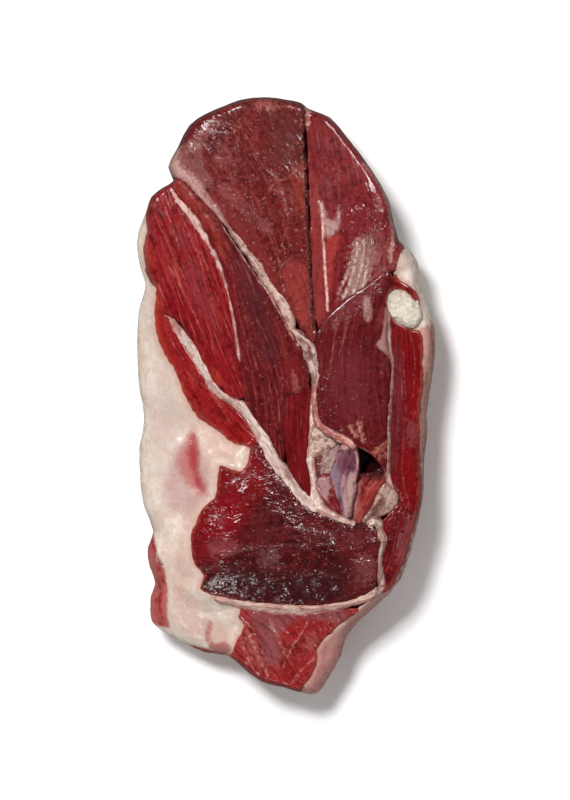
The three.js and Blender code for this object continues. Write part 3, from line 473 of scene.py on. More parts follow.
# Small forms in and round the bone hollow, made the same way from finer cells
HOLLOW_FORMS = {
    "tendon_fold": {
        "level": -2.6, "swell": 1,
        "outline": [(15.5, -19), (19.5, -17.5), (24, -22.5), (28.5, -27.5), (33.5, -31), (30.5, -33.5),
            (25.5, -36.5), (21, -39), (16, -41), (15, -33)],
        "fibre": [(17, -33), (24.5, -32), (32, -31.5)],
        "colours": ((150, 108, 96), (198, 172, 158), (222, 206, 192)),
        "streaks": 0.3, "flecks": 0.1, "lumps": 0.5, "wrinkles": 0.2, "grain": 0.15, "wet": 0.8,
        "marks": [
            lines("brown_fold", (118, 70, 52), 0.5, [(18, -39.5), (23.5, -36.5), (29.5, -33.5)], soft=0.8,
                lift=-0.6, amount=0.8),
        ],
    },
    "tendon_sheet": {
        "level": -4.6, "swell": 2,
        "outline": [(22, -36), (28.5, -33), (35, -31.5), (40, -32), (36.5, -38.5), (34.5, -44.5),
            (32.5, -50), (31, -55.5), (25.5, -57), (18, -56.5), (17, -47.5), (18.5, -40)],
        "fibre": [(36.5, -34), (29.5, -42.5), (25.5, -54)],
        "colours": ((142, 112, 106), (178, 156, 148), (206, 190, 180)),
        "streaks": 0.4, "flecks": 0.1, "lumps": 0.3, "wrinkles": 0.1, "grain": 0.1, "wet": 0.9,
        "marks": [
            patch("red_pool", (102, 30, 30), [(18.5, -40), (23, -38.5), (25, -40), (23, -44.5),
                (22, -50.5), (23, -56.5), (19, -57)], soft=1, ragged=2, lift=-1.2, amount=0.9, gloss=1.4),
            lines("glossy_bead", (196, 120, 112), 0.6, [(21, -40), (22.5, -39.5)], soft=0.8, lift=0.9,
                amount=0.8, gloss=2),
        ],
    },
    "folded_membrane": {
        "level": -2, "swell": 3,
        "outline": [(36, -33), (39, -30.5), (44, -31.5), (47, -34.5), (48, -39.5), (48, -45),
            (47.5, -50.5), (46, -55.5), (46.5, -60.5), (45, -65.5), (43.5, -71.5), (42.5, -80),
            (38, -80.5), (36, -71.5), (33.5, -64.5), (31.5, -58), (29.5, -52.5), (30.5, -47.5),
            (32.5, -42.5), (34, -38)],
        "fibre": [(44.5, -31.5), (39, -46), (36, -59), (40, -80)],
        "colours": ((108, 64, 76), (142, 102, 110), (180, 148, 146)),
        "streaks": 0.5, "flecks": 0.15, "lumps": 0.25, "wrinkles": 0.1, "grain": 0.12, "wet": 0.9,
        "marks": [
            patch("purple", (98, 50, 68), [(36.5, -35.5), (43, -33), (46.5, -36), (46.5, -44.5),
                (44, -49), (38, -50.5), (33.5, -50.5), (32, -47.5), (34, -41)], soft=3, ragged=2,
                amount=0.85, gloss=0.5),
            patch("blue_edge", (116, 102, 116), [(30, -47.5), (33, -45), (35, -50.5), (36, -57),
                (38, -65.5), (39, -73.5), (36.5, -71.5), (34, -64.5), (31.5, -57)], soft=1.8, ragged=1.5,
                amount=0.8),
            patch("pale_side", (178, 142, 136), [(43, -50.5), (46.5, -52.5), (46, -58), (44.5, -65.5),
                (42.5, -73.5), (40.5, -79), (38, -73.5), (38, -65.5), (40, -57)], soft=2, ragged=2,
                amount=0.8),
            lines("pale_rim", (204, 160, 148), 0.7, [(39, -31.5), (44, -33), (46.5, -38), (47.5, -44.5),
                (46.5, -50.5), (45, -56)], soft=0.8, lift=0.6, amount=0.85, gloss=0.6),
            patch("beige_knob", (206, 164, 146), [(36.5, -32), (40, -30.5), (42.5, -32), (40.5, -34.5),
                (37.5, -34.5)], soft=1, lift=0.8, amount=0.85, gloss=0.6),
        ],
    },
    "hollow_floor_meat": {
        "level": -8, "swell": 2,
        "outline": [(43, -54), (48, -51.5), (54.5, -50.5), (61, -49.5), (66.5, -49), (69.5, -54),
            (69, -59.5), (64, -65.5), (59, -71.5), (56, -79), (52, -84), (39, -82), (40.5, -72.5),
            (43, -64.5), (44, -59)],
        "fibre": [(64, -49), (53, -65.5), (46.5, -80)],
        "colours": ((106, 20, 22), (140, 46, 44), (170, 90, 82)),
        "streaks": 0.5, "flecks": 0.2, "lumps": 0.4, "wrinkles": 0.2, "grain": 0.2, "wet": 0.9,
        "marks": [
            patch("shadowed_end", (48, 14, 18), [(44.5, -50.5), (51, -48.5), (61, -47.5), (68, -47.5),
                (67.5, -52.5), (59, -54), (51, -54), (45.5, -56.5)], soft=4.5, amount=0.95),
            patch("pink_side", (182, 120, 112), [(45.5, -59), (49.5, -56.5), (48.5, -63.5), (48, -71.5),
                (45.5, -80), (40.5, -80), (42.5, -72.5), (44.5, -65.5)], soft=1.8, ragged=2.5,
                amount=0.7),
            lines("bright_streaks", (178, 74, 62), 0.5, [(53, -60.5), (56, -61), (62.5, -60.5)], soft=0.8,
                ragged=1.4, lift=0.3, amount=0.6, gloss=0.6),
        ],
    },
    "gristle": {
        "level": -4.6, "swell": 1.5,
        "outline": [(62.5, -61), (66.5, -57), (71.5, -60.5), (74.5, -67), (71.5, -73.5), (65, -78),
            (59, -81.5), (53, -84.5), (51, -81.5), (56, -75), (59, -68.5)],
        "fibre": [(67.5, -59), (62.5, -70), (54.5, -81.5)],
        "colours": ((124, 88, 78), (166, 138, 126), (196, 174, 160)),
        "streaks": 0.15, "flecks": 0.0, "lumps": 0.3, "wrinkles": 0.0, "grain": 0.1, "wet": 1.0,
        "marks": [
            patch("brown_end", (96, 60, 54), [(53, -81.5), (57.5, -73.5), (62.5, -74), (59, -80),
                (54.5, -84)], soft=3, amount=0.8),
        ],
    },
    "red_bit": {
        "level": -3, "swell": 2,
        "outline": [(17, -59), (20.5, -54), (26, -50.5), (31, -52.5), (33, -59), (35.5, -66), (38, -73.5),
            (40, -80.5), (34, -80), (27.5, -76.5), (22, -72.5), (17, -65.5)],
        "fibre": [(23.5, -52.5), (29.5, -63.5), (37.5, -78)],
        "colours": ((98, 12, 18), (120, 34, 38), (150, 84, 84)),
        "streaks": 0.3, "flecks": 0.2, "lumps": 0.6, "wrinkles": 0.3, "grain": 0.3, "wet": 1.0,
        "marks": [
            patch("silver_film", (176, 138, 140), [(20, -57), (23.5, -53), (28.5, -53), (30, -58),
                (28.5, -63.5), (27, -68.5), (22, -64.5)], soft=1.6, ragged=4, lift=0.6, amount=0.7,
                gloss=2.0),
        ],
    },
}

Strand = namedtuple("Strand", "line level clumps colours stain")

# Fat and cords between the muscles: [x, y, half width] along each, its level against the muscles,
# how clumpy it is, its colours from deep to bright, and the colour of its stains and thin edges.
STRANDS = {
    "upper_seam_fat": Strand([(-37.5, 112, 0.5), (-32, 104, 1.3), (-27, 97.5, 1.7), (-21, 90, 1.9),
        (-15.5, 81.5, 2.5), (-12.5, 75.5, 1.6), (-8, 69, 2.4), (-2, 61, 2.5), (1.5, 52.5, 2.6),
        (3.5, 46, 1.7)], 0.1, 0.8, ((130, 86, 76), (178, 144, 130), (206, 176, 162)), (116, 52, 48)),
    "upper_seam_crumbs": Strand([(4.5, 44, 1.2), (8, 40, 2.6), (13, 34.5, 3.8), (16, 26.5, 3.8),
        (18, 19, 2.8), (20, 13.5, 1.8), (19.5, 8, 1)], -0.1, 1.3, ((96, 52, 48), (156, 116, 108),
        (206, 178, 170)), (96, 40, 40)),
    "hollow_side_fat": Strand([(18.6, 4, 0.4), (17, -6, 0.6), (17, -15.5, 0.7), (16.5, -23, 0.8),
        (16.3, -32.5, 0.8), (15.8, -42, 1.8), (17.3, -50, 1.0), (18, -58.5, 1.3), (19, -66.5, 2.4),
        (23, -73.5, 2.4), (29, -78, 1.6), (38, -81.5, 0.9), (44, -84, 0.5)], -0.3, 0.5, ((160, 112, 98),
        (202, 172, 158), (224, 206, 194)), (140, 76, 66)),
    "lower_seam_fat": Strand([(-78, 53, 0.8), (-72, 44, 2.1), (-64.5, 34.5, 2.8), (-58.5, 25, 2.7),
        (-53, 15, 2.5), (-47, 4.5, 2.2), (-37.5, -1.5, 1.8), (-28, -8, 2.5), (-20.5, -19, 3),
        (-14.5, -29, 3.8), (-10, -38, 4.2), (-6, -45, 3.9), (-0.5, -52, 3.6), (6, -60.5, 3.2),
        (12.5, -68, 3.2), (18.5, -73.5, 2.6)], -0.4, 0.4, ((164, 118, 110), (196, 166, 156),
        (216, 196, 184)), (146, 76, 72)),
    "end_seam_fat": Strand([(-46, -133.5, 0.8), (-38, -135, 1.8), (-27.5, -137.5, 2.2),
        (-14, -139.4, 2.6), (-0.5, -140.6, 3.1), (12.5, -141, 2.7), (26, -139.8, 2.1), (38, -137.5, 1.6),
        (48, -134.5, 1.6), (56, -131.5, 1.8), (64, -126, 1.4)], -0.1, 0.5, ((160, 104, 94),
        (192, 152, 138), (212, 182, 168)), (156, 90, 82)),
    "vein": Strand([(55.5, -83.5, 1.0), (59, -82.3, 1.9), (61.5, -84.5, 1.7), (62, -87, 1),
        (63.5, -91.5, 1.8), (64.5, -96.5, 1.4), (63.3, -101, 0.9), (62.2, -109, 0.9), (62.5, -116, 1.2),
        (63.5, -124, 1.4)], 0.8, 0.4, ((150, 96, 86), (200, 162, 148), (226, 206, 190)), (120, 52, 50)),
    "side_sinew": Strand([(68.5, 58, 0.7), (68.6, 45, 1.0), (69, 32, 1.1), (70.6, 22, 1.0),
        (70.2, 14, 0.8), (69.3, -2, 0.8), (68.2, -16, 0.9), (68, -35, 1.0), (67.8, -52, 1.1),
        (70, -60, 0.7)], 0.0, 0.2, ((140, 80, 72), (188, 142, 130), (214, 180, 168)), (124, 54, 48)),
    "left_fascia": Strand([(-76, 137.5, 0.9), (-71.5, 130, 1.8), (-66, 123.5, 2.2), (-61, 116.5, 2.1),
        (-56, 109, 1.8), (-51.5, 101, 1.3), (-47, 93, 1.0), (-42.5, 82, 0.8), (-39.5, 72, 0.7),
        (-37, 62, 0.8), (-34.5, 49, 0.6), (-32.5, 36, 0.5), (-31, 24, 0.4)], 0.0, 0.25, ((150, 92, 86),
        (178, 136, 126), (202, 168, 158)), (134, 56, 50)),
    "pink_cord": Strand([(19.8, 14, 0.5), (18.8, 4, 0.8), (18.6, -4, 1.0), (19.2, -12, 1.1),
        (22, -18.5, 1.2), (28, -22.5, 1.3), (35, -26.5, 1.4), (41, -29.5, 1.4), (44, -32, 1.0)], 0.3, 0.6,
        ((134, 62, 54), (178, 110, 98), (214, 166, 150)), (124, 46, 42)),
}

# Dark gaps where two muscles part
CRACKS = [
    [(12, 193), (12.7, 172), (13.8, 152), (15.4, 120), (17.2, 80), (19.4, 48), (20.5, 40)],
    [(17.8, -10), (18.6, -24), (19, -36), (19.2, -46), (20, -52)],
    [(25, -76), (30, -78), (35, -80.5)],
]

# The mouth and lean of the bone hollow, as in the solids
HOLLOW_MOUTH = [
    (43.5, -29.5), (48.5, -35), (56, -38.5), (62.5, -46), (57, -48.5), (48, -54.5), (47, -45.5),
]
HOLLOW_DEPTH = 34
HOLLOW_LEAN = (2, 9)

# The lump of hard fat: its place, its half sizes and how far it is turned in plan
FAT_LUMP_CENTRE = (78, 58.5)
FAT_LUMP_HALF = (14.5, 9.5, 8)
FAT_LUMP_TURN = -0.9

# What lies on the fat cover
FAT_MARKS = [
    patch("grey_shade", (184, 162, 152), [(-90, 66), (-82, 50), (-76, 30), (-70, 6), (-58, -14),
        (-66, -20), (-76, -34), (-84, -50), (-88, -30), (-86, 0), (-90, 30), (-92, 50)], soft=9,
        amount=0.75),
    patch("rosy_area", (194, 154, 140), [(-58, -18), (-44, -26), (-32, -36), (-34, -44), (-46, -42),
        (-50, -56), (-54, -70), (-62, -84), (-66, -100), (-62, -118), (-64, -134), (-50, -146),
        (-38, -152), (-38, -164), (-52, -164), (-70, -156), (-76, -130), (-72, -100), (-66, -76),
        (-56, -52), (-54, -36)], soft=6, ragged=3, amount=0.7),
    # Painted shade: a soft shadow laid on the fat round the red window
    patch("painted_soft_shadow", (168, 122, 122), [(-76, -40), (-66, -26), (-56, -34), (-50, -60), (-60, -74),
        (-76, -78), (-82, -64)], soft=6, ragged=2, amount=0.65),
    patch("red_window", (176, 98, 94), [(-62, -20), (-58.5, -29), (-57, -39), (-58, -49), (-55, -56),
        (-52.5, -65), (-61, -62), (-67, -56), (-70.5, -49), (-72, -42), (-69, -34), (-66, -27.5)],
        soft=3.5, ragged=3, lift=-0.8, amount=0.85),
    patch("red_in_window", (150, 38, 42), [(-61.5, -24), (-59.5, -30), (-58, -39), (-59, -49), (-56, -56),
        (-54, -62), (-58, -60), (-61, -54), (-63.5, -47), (-65, -40), (-64.5, -32)], soft=2.2, ragged=2.5,
        lift=-0.5, amount=0.8),
    patch("small_reds", (154, 70, 66), [(-53.5, -156), (-51, -148), (-49, -152), (-51, -160), (-48, -167),
        (-53, -164)], [(-52.5, -163), (-47, -164), (-40, -163), (-36, -167), (-39, -172), (-48, -171)],
        soft=1.6, ragged=1.5, amount=0.8),
    patch("edge_strips", (168, 74, 68), [(-89, -91), (-87, -99), (-86, -109), (-81.5, -114),
        (-79.5, -122.5), (-78.5, -130.5), (-79, -139.5), (-79, -148), (-77.5, -153.5), (-84.5, -153.5),
        (-94, -148), (-96, -136), (-94, -128), (-90, -124.5), (-94, -117), (-95, -109), (-95, -99)],
        [(-67, -166), (-57.5, -167), (-47.5, -169.5), (-38, -172), (-38, -178), (-47.5, -180),
        (-60, -174)], soft=1.2, ragged=1.2, lift=-0.5, amount=0.92),
    lines("strip_reds", (138, 20, 26), 2.6, [(-90, -97), (-86, -108), (-83, -118), (-84, -129),
        (-86, -140), (-83, -150)], [(-66, -168), (-56, -170), (-46, -174), (-38, -176)], soft=1.4,
        ragged=1.8, amount=0.9),
    patch("rosy_flank", (178, 114, 108), [(20, -164), (39.5, -159), (46, -160), (40, -180), (34, -192),
        (21.5, -204), (12.5, -204), (7, -197), (13.5, -184)], [(26, -162), (36, -154), (47, -143.5),
        (57.5, -134), (67, -123.5), (73.5, -114.5), (80, -120), (72, -138), (60, -150), (47, -160),
        (39.5, -166), (29.5, -168)], soft=2, ragged=2, amount=0.85),
    lines("flank_streaks", (172, 84, 80), 0.9, [(70, -121), (60, -134), (48, -146), (40, -154)],
        [(62, -140), (50, -151), (40, -162), (35, -174), (28, -188)], [(34, -166), (28, -180),
        (20, -192)], [(26, -166), (24, -178), (18, -190)], soft=1, ragged=2, amount=0.6),
    patch("thin_flank", (168, 98, 84), [(88, 46), (106, 46), (106, 20), (104, -20), (101, -60), (94, -96),
        (84, -118), (76, -128), (70, -118), (78, -98), (84, -74), (85, -50), (85, -20), (86, 8)],
        soft=1.5, ragged=2.5, amount=0.75),
    lines("flank_dark_lines", (112, 36, 32), 0.7, [(92, 28), (92.5, 6), (90.5, -14), (90.5, -44),
        (89, -66)], [(96, 44), (98, 26), (95, 0), (93, -24), (91.5, -50), (90, -74), (84, -96)], soft=0.8,
        ragged=2.2, amount=0.75),
]


# Shapes in plan


def smooth_curve(points, closed=False, steps=3):
    """A centripetal Catmull-Rom curve through points, with steps places for each of them."""
    points = np.array(points, float)
    if closed:
        padded = np.vstack([points[-1:], points, points[:2]])
    else:
        padded = np.vstack([2 * points[:1] - points[1:2], points, 2 * points[-1:] - points[-2:-1]])
    before, start, end, after = padded[:-3], padded[1:-2], padded[2:-1], padded[3:]

    def knot(one, two):
        return np.maximum(np.linalg.norm(two - one, axis=1) ** 0.5, 1e-4)[:, None]

    gap_in, gap, gap_out = knot(before, start), knot(start, end), knot(end, after)
    leave = ((start - before) / gap_in - (end - before) / (gap_in + gap) + (end - start) / gap) * gap
    arrive = ((end - start) / gap - (after - start) / (gap + gap_out) + (after - end) / gap_out) * gap
    bend = -3 * start + 3 * end - 2 * leave - arrive
    twist = 2 * start - 2 * end + leave + arrive
    places = [start + leave * t + bend * t**2 + twist * t**3 for t in np.arange(steps) / steps]
    curve = np.stack(places, axis=1).reshape(-1, points.shape[1])
    return curve if closed else np.vstack([curve, points[-1:]])


def near_line(places, line):
    """For each place in plan: its distance from a line, and how far along and beside it that is."""
    best = np.full(len(places), 1e9)
    along = np.zeros(len(places))
    beside = np.zeros(len(places))
    run = 0.0
    for start, end in zip(line[:-1, :2], line[1:, :2]):
        step = end - start
        length = max(math.hypot(*step), 1e-6)
        offset = places - start
        t = np.clip(offset @ step / length**2, 0, 1)
        gap = np.hypot(offset[:, 0] - t * step[0], offset[:, 1] - t * step[1])
        closer = gap < best
        side = np.sign(step[0] * offset[:, 1] - step[1] * offset[:, 0])
        best = np.where(closer, gap, best)
        along = np.where(closer, run + t * length, along)
        beside = np.where(closer, side * gap, beside)
        run += length
    return best, along, beside


def depth_inside(places, outline):
    """Distance in from a closed outline, below zero outside it."""
    ring = np.vstack([outline, outline[:1]])
    gap = near_line(places, ring)[0]
    inside = np.zeros(len(places), bool)
    x, y = places.T
    for (ax, ay), (bx, by) in zip(ring[:-1], ring[1:]):
        if ay != by:
            inside ^= ((ay > y) != (by > y)) & (x < (bx - ax) * (y - ay) / (by - ay) + ax)
    return np.where(inside, gap, -gap)


def depth_in_line(places, line):
    """How deep each place lies inside a line of changing half width, below zero outside it."""
    gap, along, _ = near_line(places, line)
    steps = np.hypot(*np.diff(line[:, :2], axis=0).T)
    run = np.concatenate([[0], np.cumsum(steps)])
    return np.interp(along, run, line[:, 2]) - gap


def nearby(measure, places, shape, margin=16):
    """A depth that is worked out only near a shape, and is far outside everywhere else."""
    low, high = shape[:, :2].min(axis=0) - margin, shape[:, :2].max(axis=0) + margin
    close = ((places > low) & (places < high)).all(axis=1)
    depth = np.full(len(places), -float(margin))
    if close.any():
        depth[close] = np.maximum(measure(places[close], shape), -margin)
    return depth


def ease(value, low, high):
    """A smooth step from 0 at low to 1 at high."""
    t = np.clip((value - low) / (high - low), 0, 1)
    return t * t * (3 - 2 * t)


def noise(places, size, seed=0):
    """Smooth random numbers from -1 to 1, in lumps about size millimetres across."""
    places = np.array(places, float) / size + 17.3 * seed
    x, y = places[:, 0].copy(), places[:, 1].copy()
    turn = 0.7 + 1.3 * seed
    places[:, 0] = math.cos(turn) * x - math.sin(turn) * y
    places[:, 1] = math.sin(turn) * x + math.cos(turn) * y
    cell = np.floor(places).astype(np.int64)
    t = places - cell
    t = t * t * t * (t * (t * 6 - 15) + 10)
    total = np.zeros(len(places))
    stride = np.array([73856093, 19349663, 83492791])[: places.shape[1]]
    for corner in itertools.product((0, 1), repeat=places.shape[1]):
        mix = ((cell + corner) * stride).sum(axis=1) + 7919 * seed
        mix = (mix ^ (mix >> 13)) * 1274126177 & 0x7FFFFFFF
        mix = (mix ^ (mix >> 15)) * 668265263 & 0x7FFFFFFF
        value = ((mix >> 9) & 0xFFFF) / 32767.5 - 1
        total += value * np.where(corner, t, 1 - t).prod(axis=1)
    return total


def folds(places, size, seed):
    """Winding ridges like those of wet, shrunken skin, from -1 to 1."""
    shift = [2.2 * noise(places, size * 1.7, seed + k) for k in (1, 2)]
    return 1 - 3.2 * np.abs(noise(places + np.column_stack(shift), size, seed))


muscle_outlines = {
    name: smooth_curve(muscle["outline"], closed=True, steps=2) for name, muscle in MUSCLES.items()
}
silhouette = smooth_curve(SILHOUETTE, closed=True, steps=2)
lean_area = smooth_curve(LEAN_AREA, closed=True, steps=2)
hollow_mouth = smooth_curve(HOLLOW_MOUTH, closed=True, steps=2)
strand_lines = {name: smooth_curve(strand.line) for name, strand in STRANDS.items()}
crack_lines = [smooth_curve([(x, y, 0) for x, y in path]) for path in CRACKS]


def back_height(places):
    """Height of the ham's back, which drops to both ends and both sides."""
    x, y = places[:, 0], places[:, 1]
    narrow_end = 20 * ease(-y, 95, 190)
    broad_end = 7 * ease(y, 105, 195)
    fat_side = 9 * ease(-x, 25, 95)
    right_side = 3 * ease(x, 50, 95)
    return BACK_HEIGHT - narrow_end - broad_end - fat_side - right_side


def strand_depth(name, places):
    """How deep each place lies inside the ragged plan of a strand, below zero outside it."""
    ragged = 0.6 * noise(places, 4.4, 51) + 0.45 * noise(places, 2, 52)
    depth = nearby(depth_in_line, places, strand_lines[name])
    return depth - 0.45 + ragged * min(STRANDS[name].clumps + 0.4, 1.2)


def skin_level(places):
    """The level of the muscles at each place, blended where two meet."""
    total = weights = 0
    for name, outline in muscle_outlines.items():
        depth = nearby(depth_inside, places, outline)
        weight = np.exp(np.minimum(depth, 5) / 1.5)
        total = total + weight * MUSCLES[name]["level"]
        weights = weights + weight
    return total / weights


def top_rounding(places):
    """How far in the upper edge is rounded: more where the left flank is fat."""
    fat_flank = ease(-places[:, 0], 50, 90) * ease(130 - places[:, 1], 0, 30)
    return LEAN_ROUNDING + (FAT_ROUNDING - LEAN_ROUNDING) * fat_flank


def outer_height(places):
    """Height of the ham's round outer form above each place."""
    trim = back_height(places) + TRIM_LIFT
    sideways = np.clip(1 - depth_inside(places, silhouette) / top_rounding(places), 0, 1)
    return WIDEST_HEIGHT + (trim - WIDEST_HEIGHT) * np.sqrt(1 - sideways**2)


def mark_depth(mark, places):
    """How far inside a mark each place is, below zero outside."""
    if mark.closed:
        shapes = [smooth_curve(path, closed=True, steps=2) for path in mark.paths]
        return np.max([nearby(depth_inside, places, shape) for shape in shapes], axis=0)
    shapes = [smooth_curve([(*point, mark.width) for point in path]) for path in mark.paths]
    return np.max([nearby(depth_in_line, places, shape) for shape in shapes], axis=0)


def marks_lift(marks, places):
    """How far the marks raise or sink the surface."""
    lift = np.zeros(len(places))
    for mark in marks:
        if mark.lift:
            lift += mark.lift * ease(mark_depth(mark, places), -0.9, 0.7)
    return lift


def fibre_frame(fibre, places):
    """Along and across the fibres of a muscle, as a pair of lengths for each place."""
    path = smooth_curve(fibre, steps=4)
    start, end = path[0] - path[1], path[-1] - path[-2]
    start, end = start / np.linalg.norm(start), end / np.linalg.norm(end)
    path = np.vstack([path[0] + 60 * start, path, path[-1] + 60 * end])
    _, along, beside = near_line(places, path)
    return np.column_stack([along, beside])


# Closed skins from fields that are positive inside
Plan = namedtuple("Plan", "low step counts places")


def plan_over(outline, margin, step):
    """A grid of columns over an outline."""
    low = np.floor((outline[:, :2].min(axis=0) - margin) / step) * step
    high = outline[:, :2].max(axis=0) + margin
    nx, ny = np.ceil((high - low) / step).astype(int) + 1
    x, y = np.meshgrid(low[0] + np.arange(nx) * step, low[1] + np.arange(ny) * step, indexing="ij")
    return Plan(low, step, (nx, ny), np.column_stack([x.ravel(), y.ravel()]))


def between_columns(plan, values, places):
    """Values known at a plan's columns, read off at other places."""
    grid = values.reshape(plan.counts)
    spot = (places[:, :2] - plan.low) / plan.step
    cell = np.clip(np.floor(spot).astype(int), 0, np.array(plan.counts) - 2)
    (i, j), (tx, ty) = cell.T, np.clip(spot - cell, 0, 1).T
    near = grid[i, j] * (1 - tx) + grid[i + 1, j] * tx
    far = grid[i, j + 1] * (1 - tx) + grid[i + 1, j + 1] * tx
    return near * (1 - ty) + far * ty


def round_least(one, two, radius):
    """The lesser of two fields, with the corner between them rounded."""
    blend = np.clip(radius - np.abs(one - two), 0, None)
    return np.minimum(one, two) - blend * blend / (4 * radius)


def pillow_field(places, rim_depth, top, height):
    """The ham's round outer form between its base and a top height."""
    above = np.maximum(height - WIDEST_HEIGHT, 0) / (top - WIDEST_HEIGHT)
    below = np.maximum(WIDEST_HEIGHT - height, 0) / WIDEST_HEIGHT
    inset = np.where(height > WIDEST_HEIGHT, top_rounding(places)[:, None], BASE_ROUNDING)
    sideways = np.clip(1 - rim_depth / inset, 0, None)
    return (1 - np.sqrt(sideways**2 + above**2 + below**2)) * BASE_ROUNDING


def crossing_places(field):
    """Where a field changes sign within its grid, once for each cell, and each cell's number."""
    inside = field > 0
    counts = [size - 1 for size in field.shape]
    corners = list(itertools.product((0, 1), repeat=3))

    def shifted(array, at):
        return array[tuple(slice(o, o + n) for o, n in zip(at, counts))]

    total = sum(shifted(inside, at).astype(np.int8) for at in corners)
    active = (total > 0) & (total < 8)
    cells = np.argwhere(active)
    number = np.full(active.shape, -1, np.int64)
    number[active] = np.arange(len(cells))
    values = {at: shifted(field, at)[active] for at in corners}
    place = np.zeros((len(cells), 3))
    hits = np.zeros(len(cells))
    for one, two in itertools.combinations(corners, 2):
        if sum(a != b for a, b in zip(one, two)) != 1:
            continue
        crosses = (values[one] > 0) != (values[two] > 0)
        t = values[one][crosses] / (values[one][crosses] - values[two][crosses])
        place[crosses] += np.array(one) + t[:, None] * (np.array(two) - np.array(one))
        hits[crosses] += 1
    return cells + place / hits[:, None], number


def quads_across(inside, number, axis):
    """The quads between cells that part the inside from the outside along one axis."""
    second, third = (axis + 1) % 3, (axis + 2) % 3
    low = [slice(1, -1)] * 3
    low[axis] = slice(0, -1)
    high = list(low)
    high[axis] = slice(1, None)
    leaving = inside[tuple(low)] & ~inside[tuple(high)]
    entering = ~inside[tuple(low)] & inside[tuple(high)]
    quads = []
    for change, flip in ((leaving, False), (entering, True)):
        at = np.argwhere(change)
        at[:, second] += 1
        at[:, third] += 1
        ring = []
        for back_second, back_third in ((1, 1), (0, 1), (0, 0), (1, 0)):
            cell = at.copy()
            cell[:, second] -= back_second
            cell[:, third] -= back_third
            ring.append(number[tuple(cell.T)])
        quad = np.column_stack(ring)
        quads.append(quad[:, ::-1] if flip else quad)
    return quads


def surface_net(field, corner, step):
    """A closed net of quads where a field on a grid of cells changes sign."""
    places, number = crossing_places(field)
    quads = [quad for axis in range(3) for quad in quads_across(field > 0, number, axis)]
    return np.array(corner) + places * step, np.vstack(quads)


def net_over(plan, floor, ceiling, make_field):
    """A net over plan columns, where make_field takes the heights of the levels."""
    levels = np.arange(floor - 2 * plan.step, ceiling + 3 * plan.step, plan.step)
    field = make_field(levels[None, :]).reshape(*plan.counts, len(levels))
    for axis in range(3):
        edge = np.moveaxis(field, axis, 0)
        edge[0] = np.minimum(edge[0], -0.1)
        edge[-1] = np.minimum(edge[-1], -0.1)
    return surface_net(field, (*plan.low, levels[0]), plan.step)


def slab_net(plan, top, edge, base, rounding):
    """A slab with rounded edges that widens a little downwards, inside the ham's outer form."""
    rim = depth_inside(plan.places, silhouette)[:, None]
    trim = back_height(plan.places)[:, None] + TRIM_LIFT
    top, edge, base = top[:, None], edge[:, None], base[:, None]

    def field(height):
        wall = edge + 0.16 * np.clip(top - height, 0, 12)
        skin = round_least((top - height) * 0.9, wall, rounding)
        skin = round_least(skin, pillow_field(plan.places, rim, trim, height), 4)
        return np.minimum(skin, height - base)

    used = ((edge > -3) & (rim > -3))[:, 0]
    return net_over(plan, float(base[used].min()), float(top[used].max()), field)


def along_normals(vertices, quads):
    """Outward directions at the net's vertices."""
    across = vertices[quads[:, 2]] - vertices[quads[:, 0]]
    over = vertices[quads[:, 3]] - vertices[quads[:, 1]]
    face = np.cross(across, over)
    normals = np.zeros_like(vertices)
    for corner in range(4):
        for axis in range(3):
            normals[:, axis] += np.bincount(quads[:, corner], face[:, axis], len(vertices))
    return normals / np.maximum(np.linalg.norm(normals, axis=1), 1e-9)[:, None]


# Meshes


def make_piece(name, vertices, faces, material, node):
    """A Blender object from millimetre vertices and faces of one size, riding on the ham."""
    mesh = bpy.data.meshes.new(name)
    low, high = (np.array(corner) / MM for corner in cad_box)
    vertices = np.clip(vertices, low, high)
    mesh.vertices.add(len(vertices))
    mesh.vertices.foreach_set("co", (vertices * MM).astype(np.float32).ravel())
    mesh.loops.add(faces.size)
    mesh.loops.foreach_set("vertex_index", faces.astype(np.int32).ravel())
    mesh.polygons.add(len(faces))
    mesh.polygons.foreach_set("loop_start", np.arange(0, faces.size, faces.shape[1], dtype=np.int32))
    mesh.polygons.foreach_set("use_smooth", np.ones(len(faces), bool))
    mesh.update(calc_edges=True)
    mesh.materials.append(material)
    piece = bpy.data.objects.new(name, mesh)
    bpy.context.collection.objects.link(piece)
    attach(piece, "root")
    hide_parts(node)
    return piece


def keep_numbers(piece, name, values):
    """Stores one number, or a row of three, at each vertex for the material to read."""
    values = np.asarray(values, np.float32)
    flat = values.ndim == 1
    layer = piece.data.attributes.new(name, "FLOAT" if flat else "FLOAT_VECTOR", "POINT")
    layer.data.foreach_set("value" if flat else "vector", values.ravel())


# Materials


def linear(colour):
    """A seen colour as the linear numbers that a shader takes."""
    parts = [part / 255 for part in colour]
    return tuple(p / 12.92 if p <= 0.04045 else ((p + 0.055) / 1.055) ** 2.4 for p in parts)


class Wire:
    """A number in a material that changes over the surface, for use in plain sums."""

    def __init__(self, paint, socket):
        self.paint = paint
        self.socket = socket

    def _sum(self, operation, first, second):
        return self.paint.node("ShaderNodeMath", {"operation": operation}, {0: first, 1: second})

    def __add__(self, other):
        return self._sum("ADD", self, other)

    def __radd__(self, other):
        return self._sum("ADD", other, self)

    def __sub__(self, other):
        return self._sum("SUBTRACT", self, other)

    def __rsub__(self, other):
        return self._sum("SUBTRACT", other, self)

    def __mul__(self, other):
        return self._sum("MULTIPLY", self, other)

    def __rmul__(self, other):
        return self._sum("MULTIPLY", other, self)

    def __abs__(self):
        return self._sum("ABSOLUTE", self, 0)

    def step(self, low, high):
        """A smooth step from 0 at low to 1 at high."""
        settings = {"interpolation_type": "SMOOTHSTEP"}
        return self.paint.node("ShaderNodeMapRange", settings, {"Value": self, 1: low, 2: high})


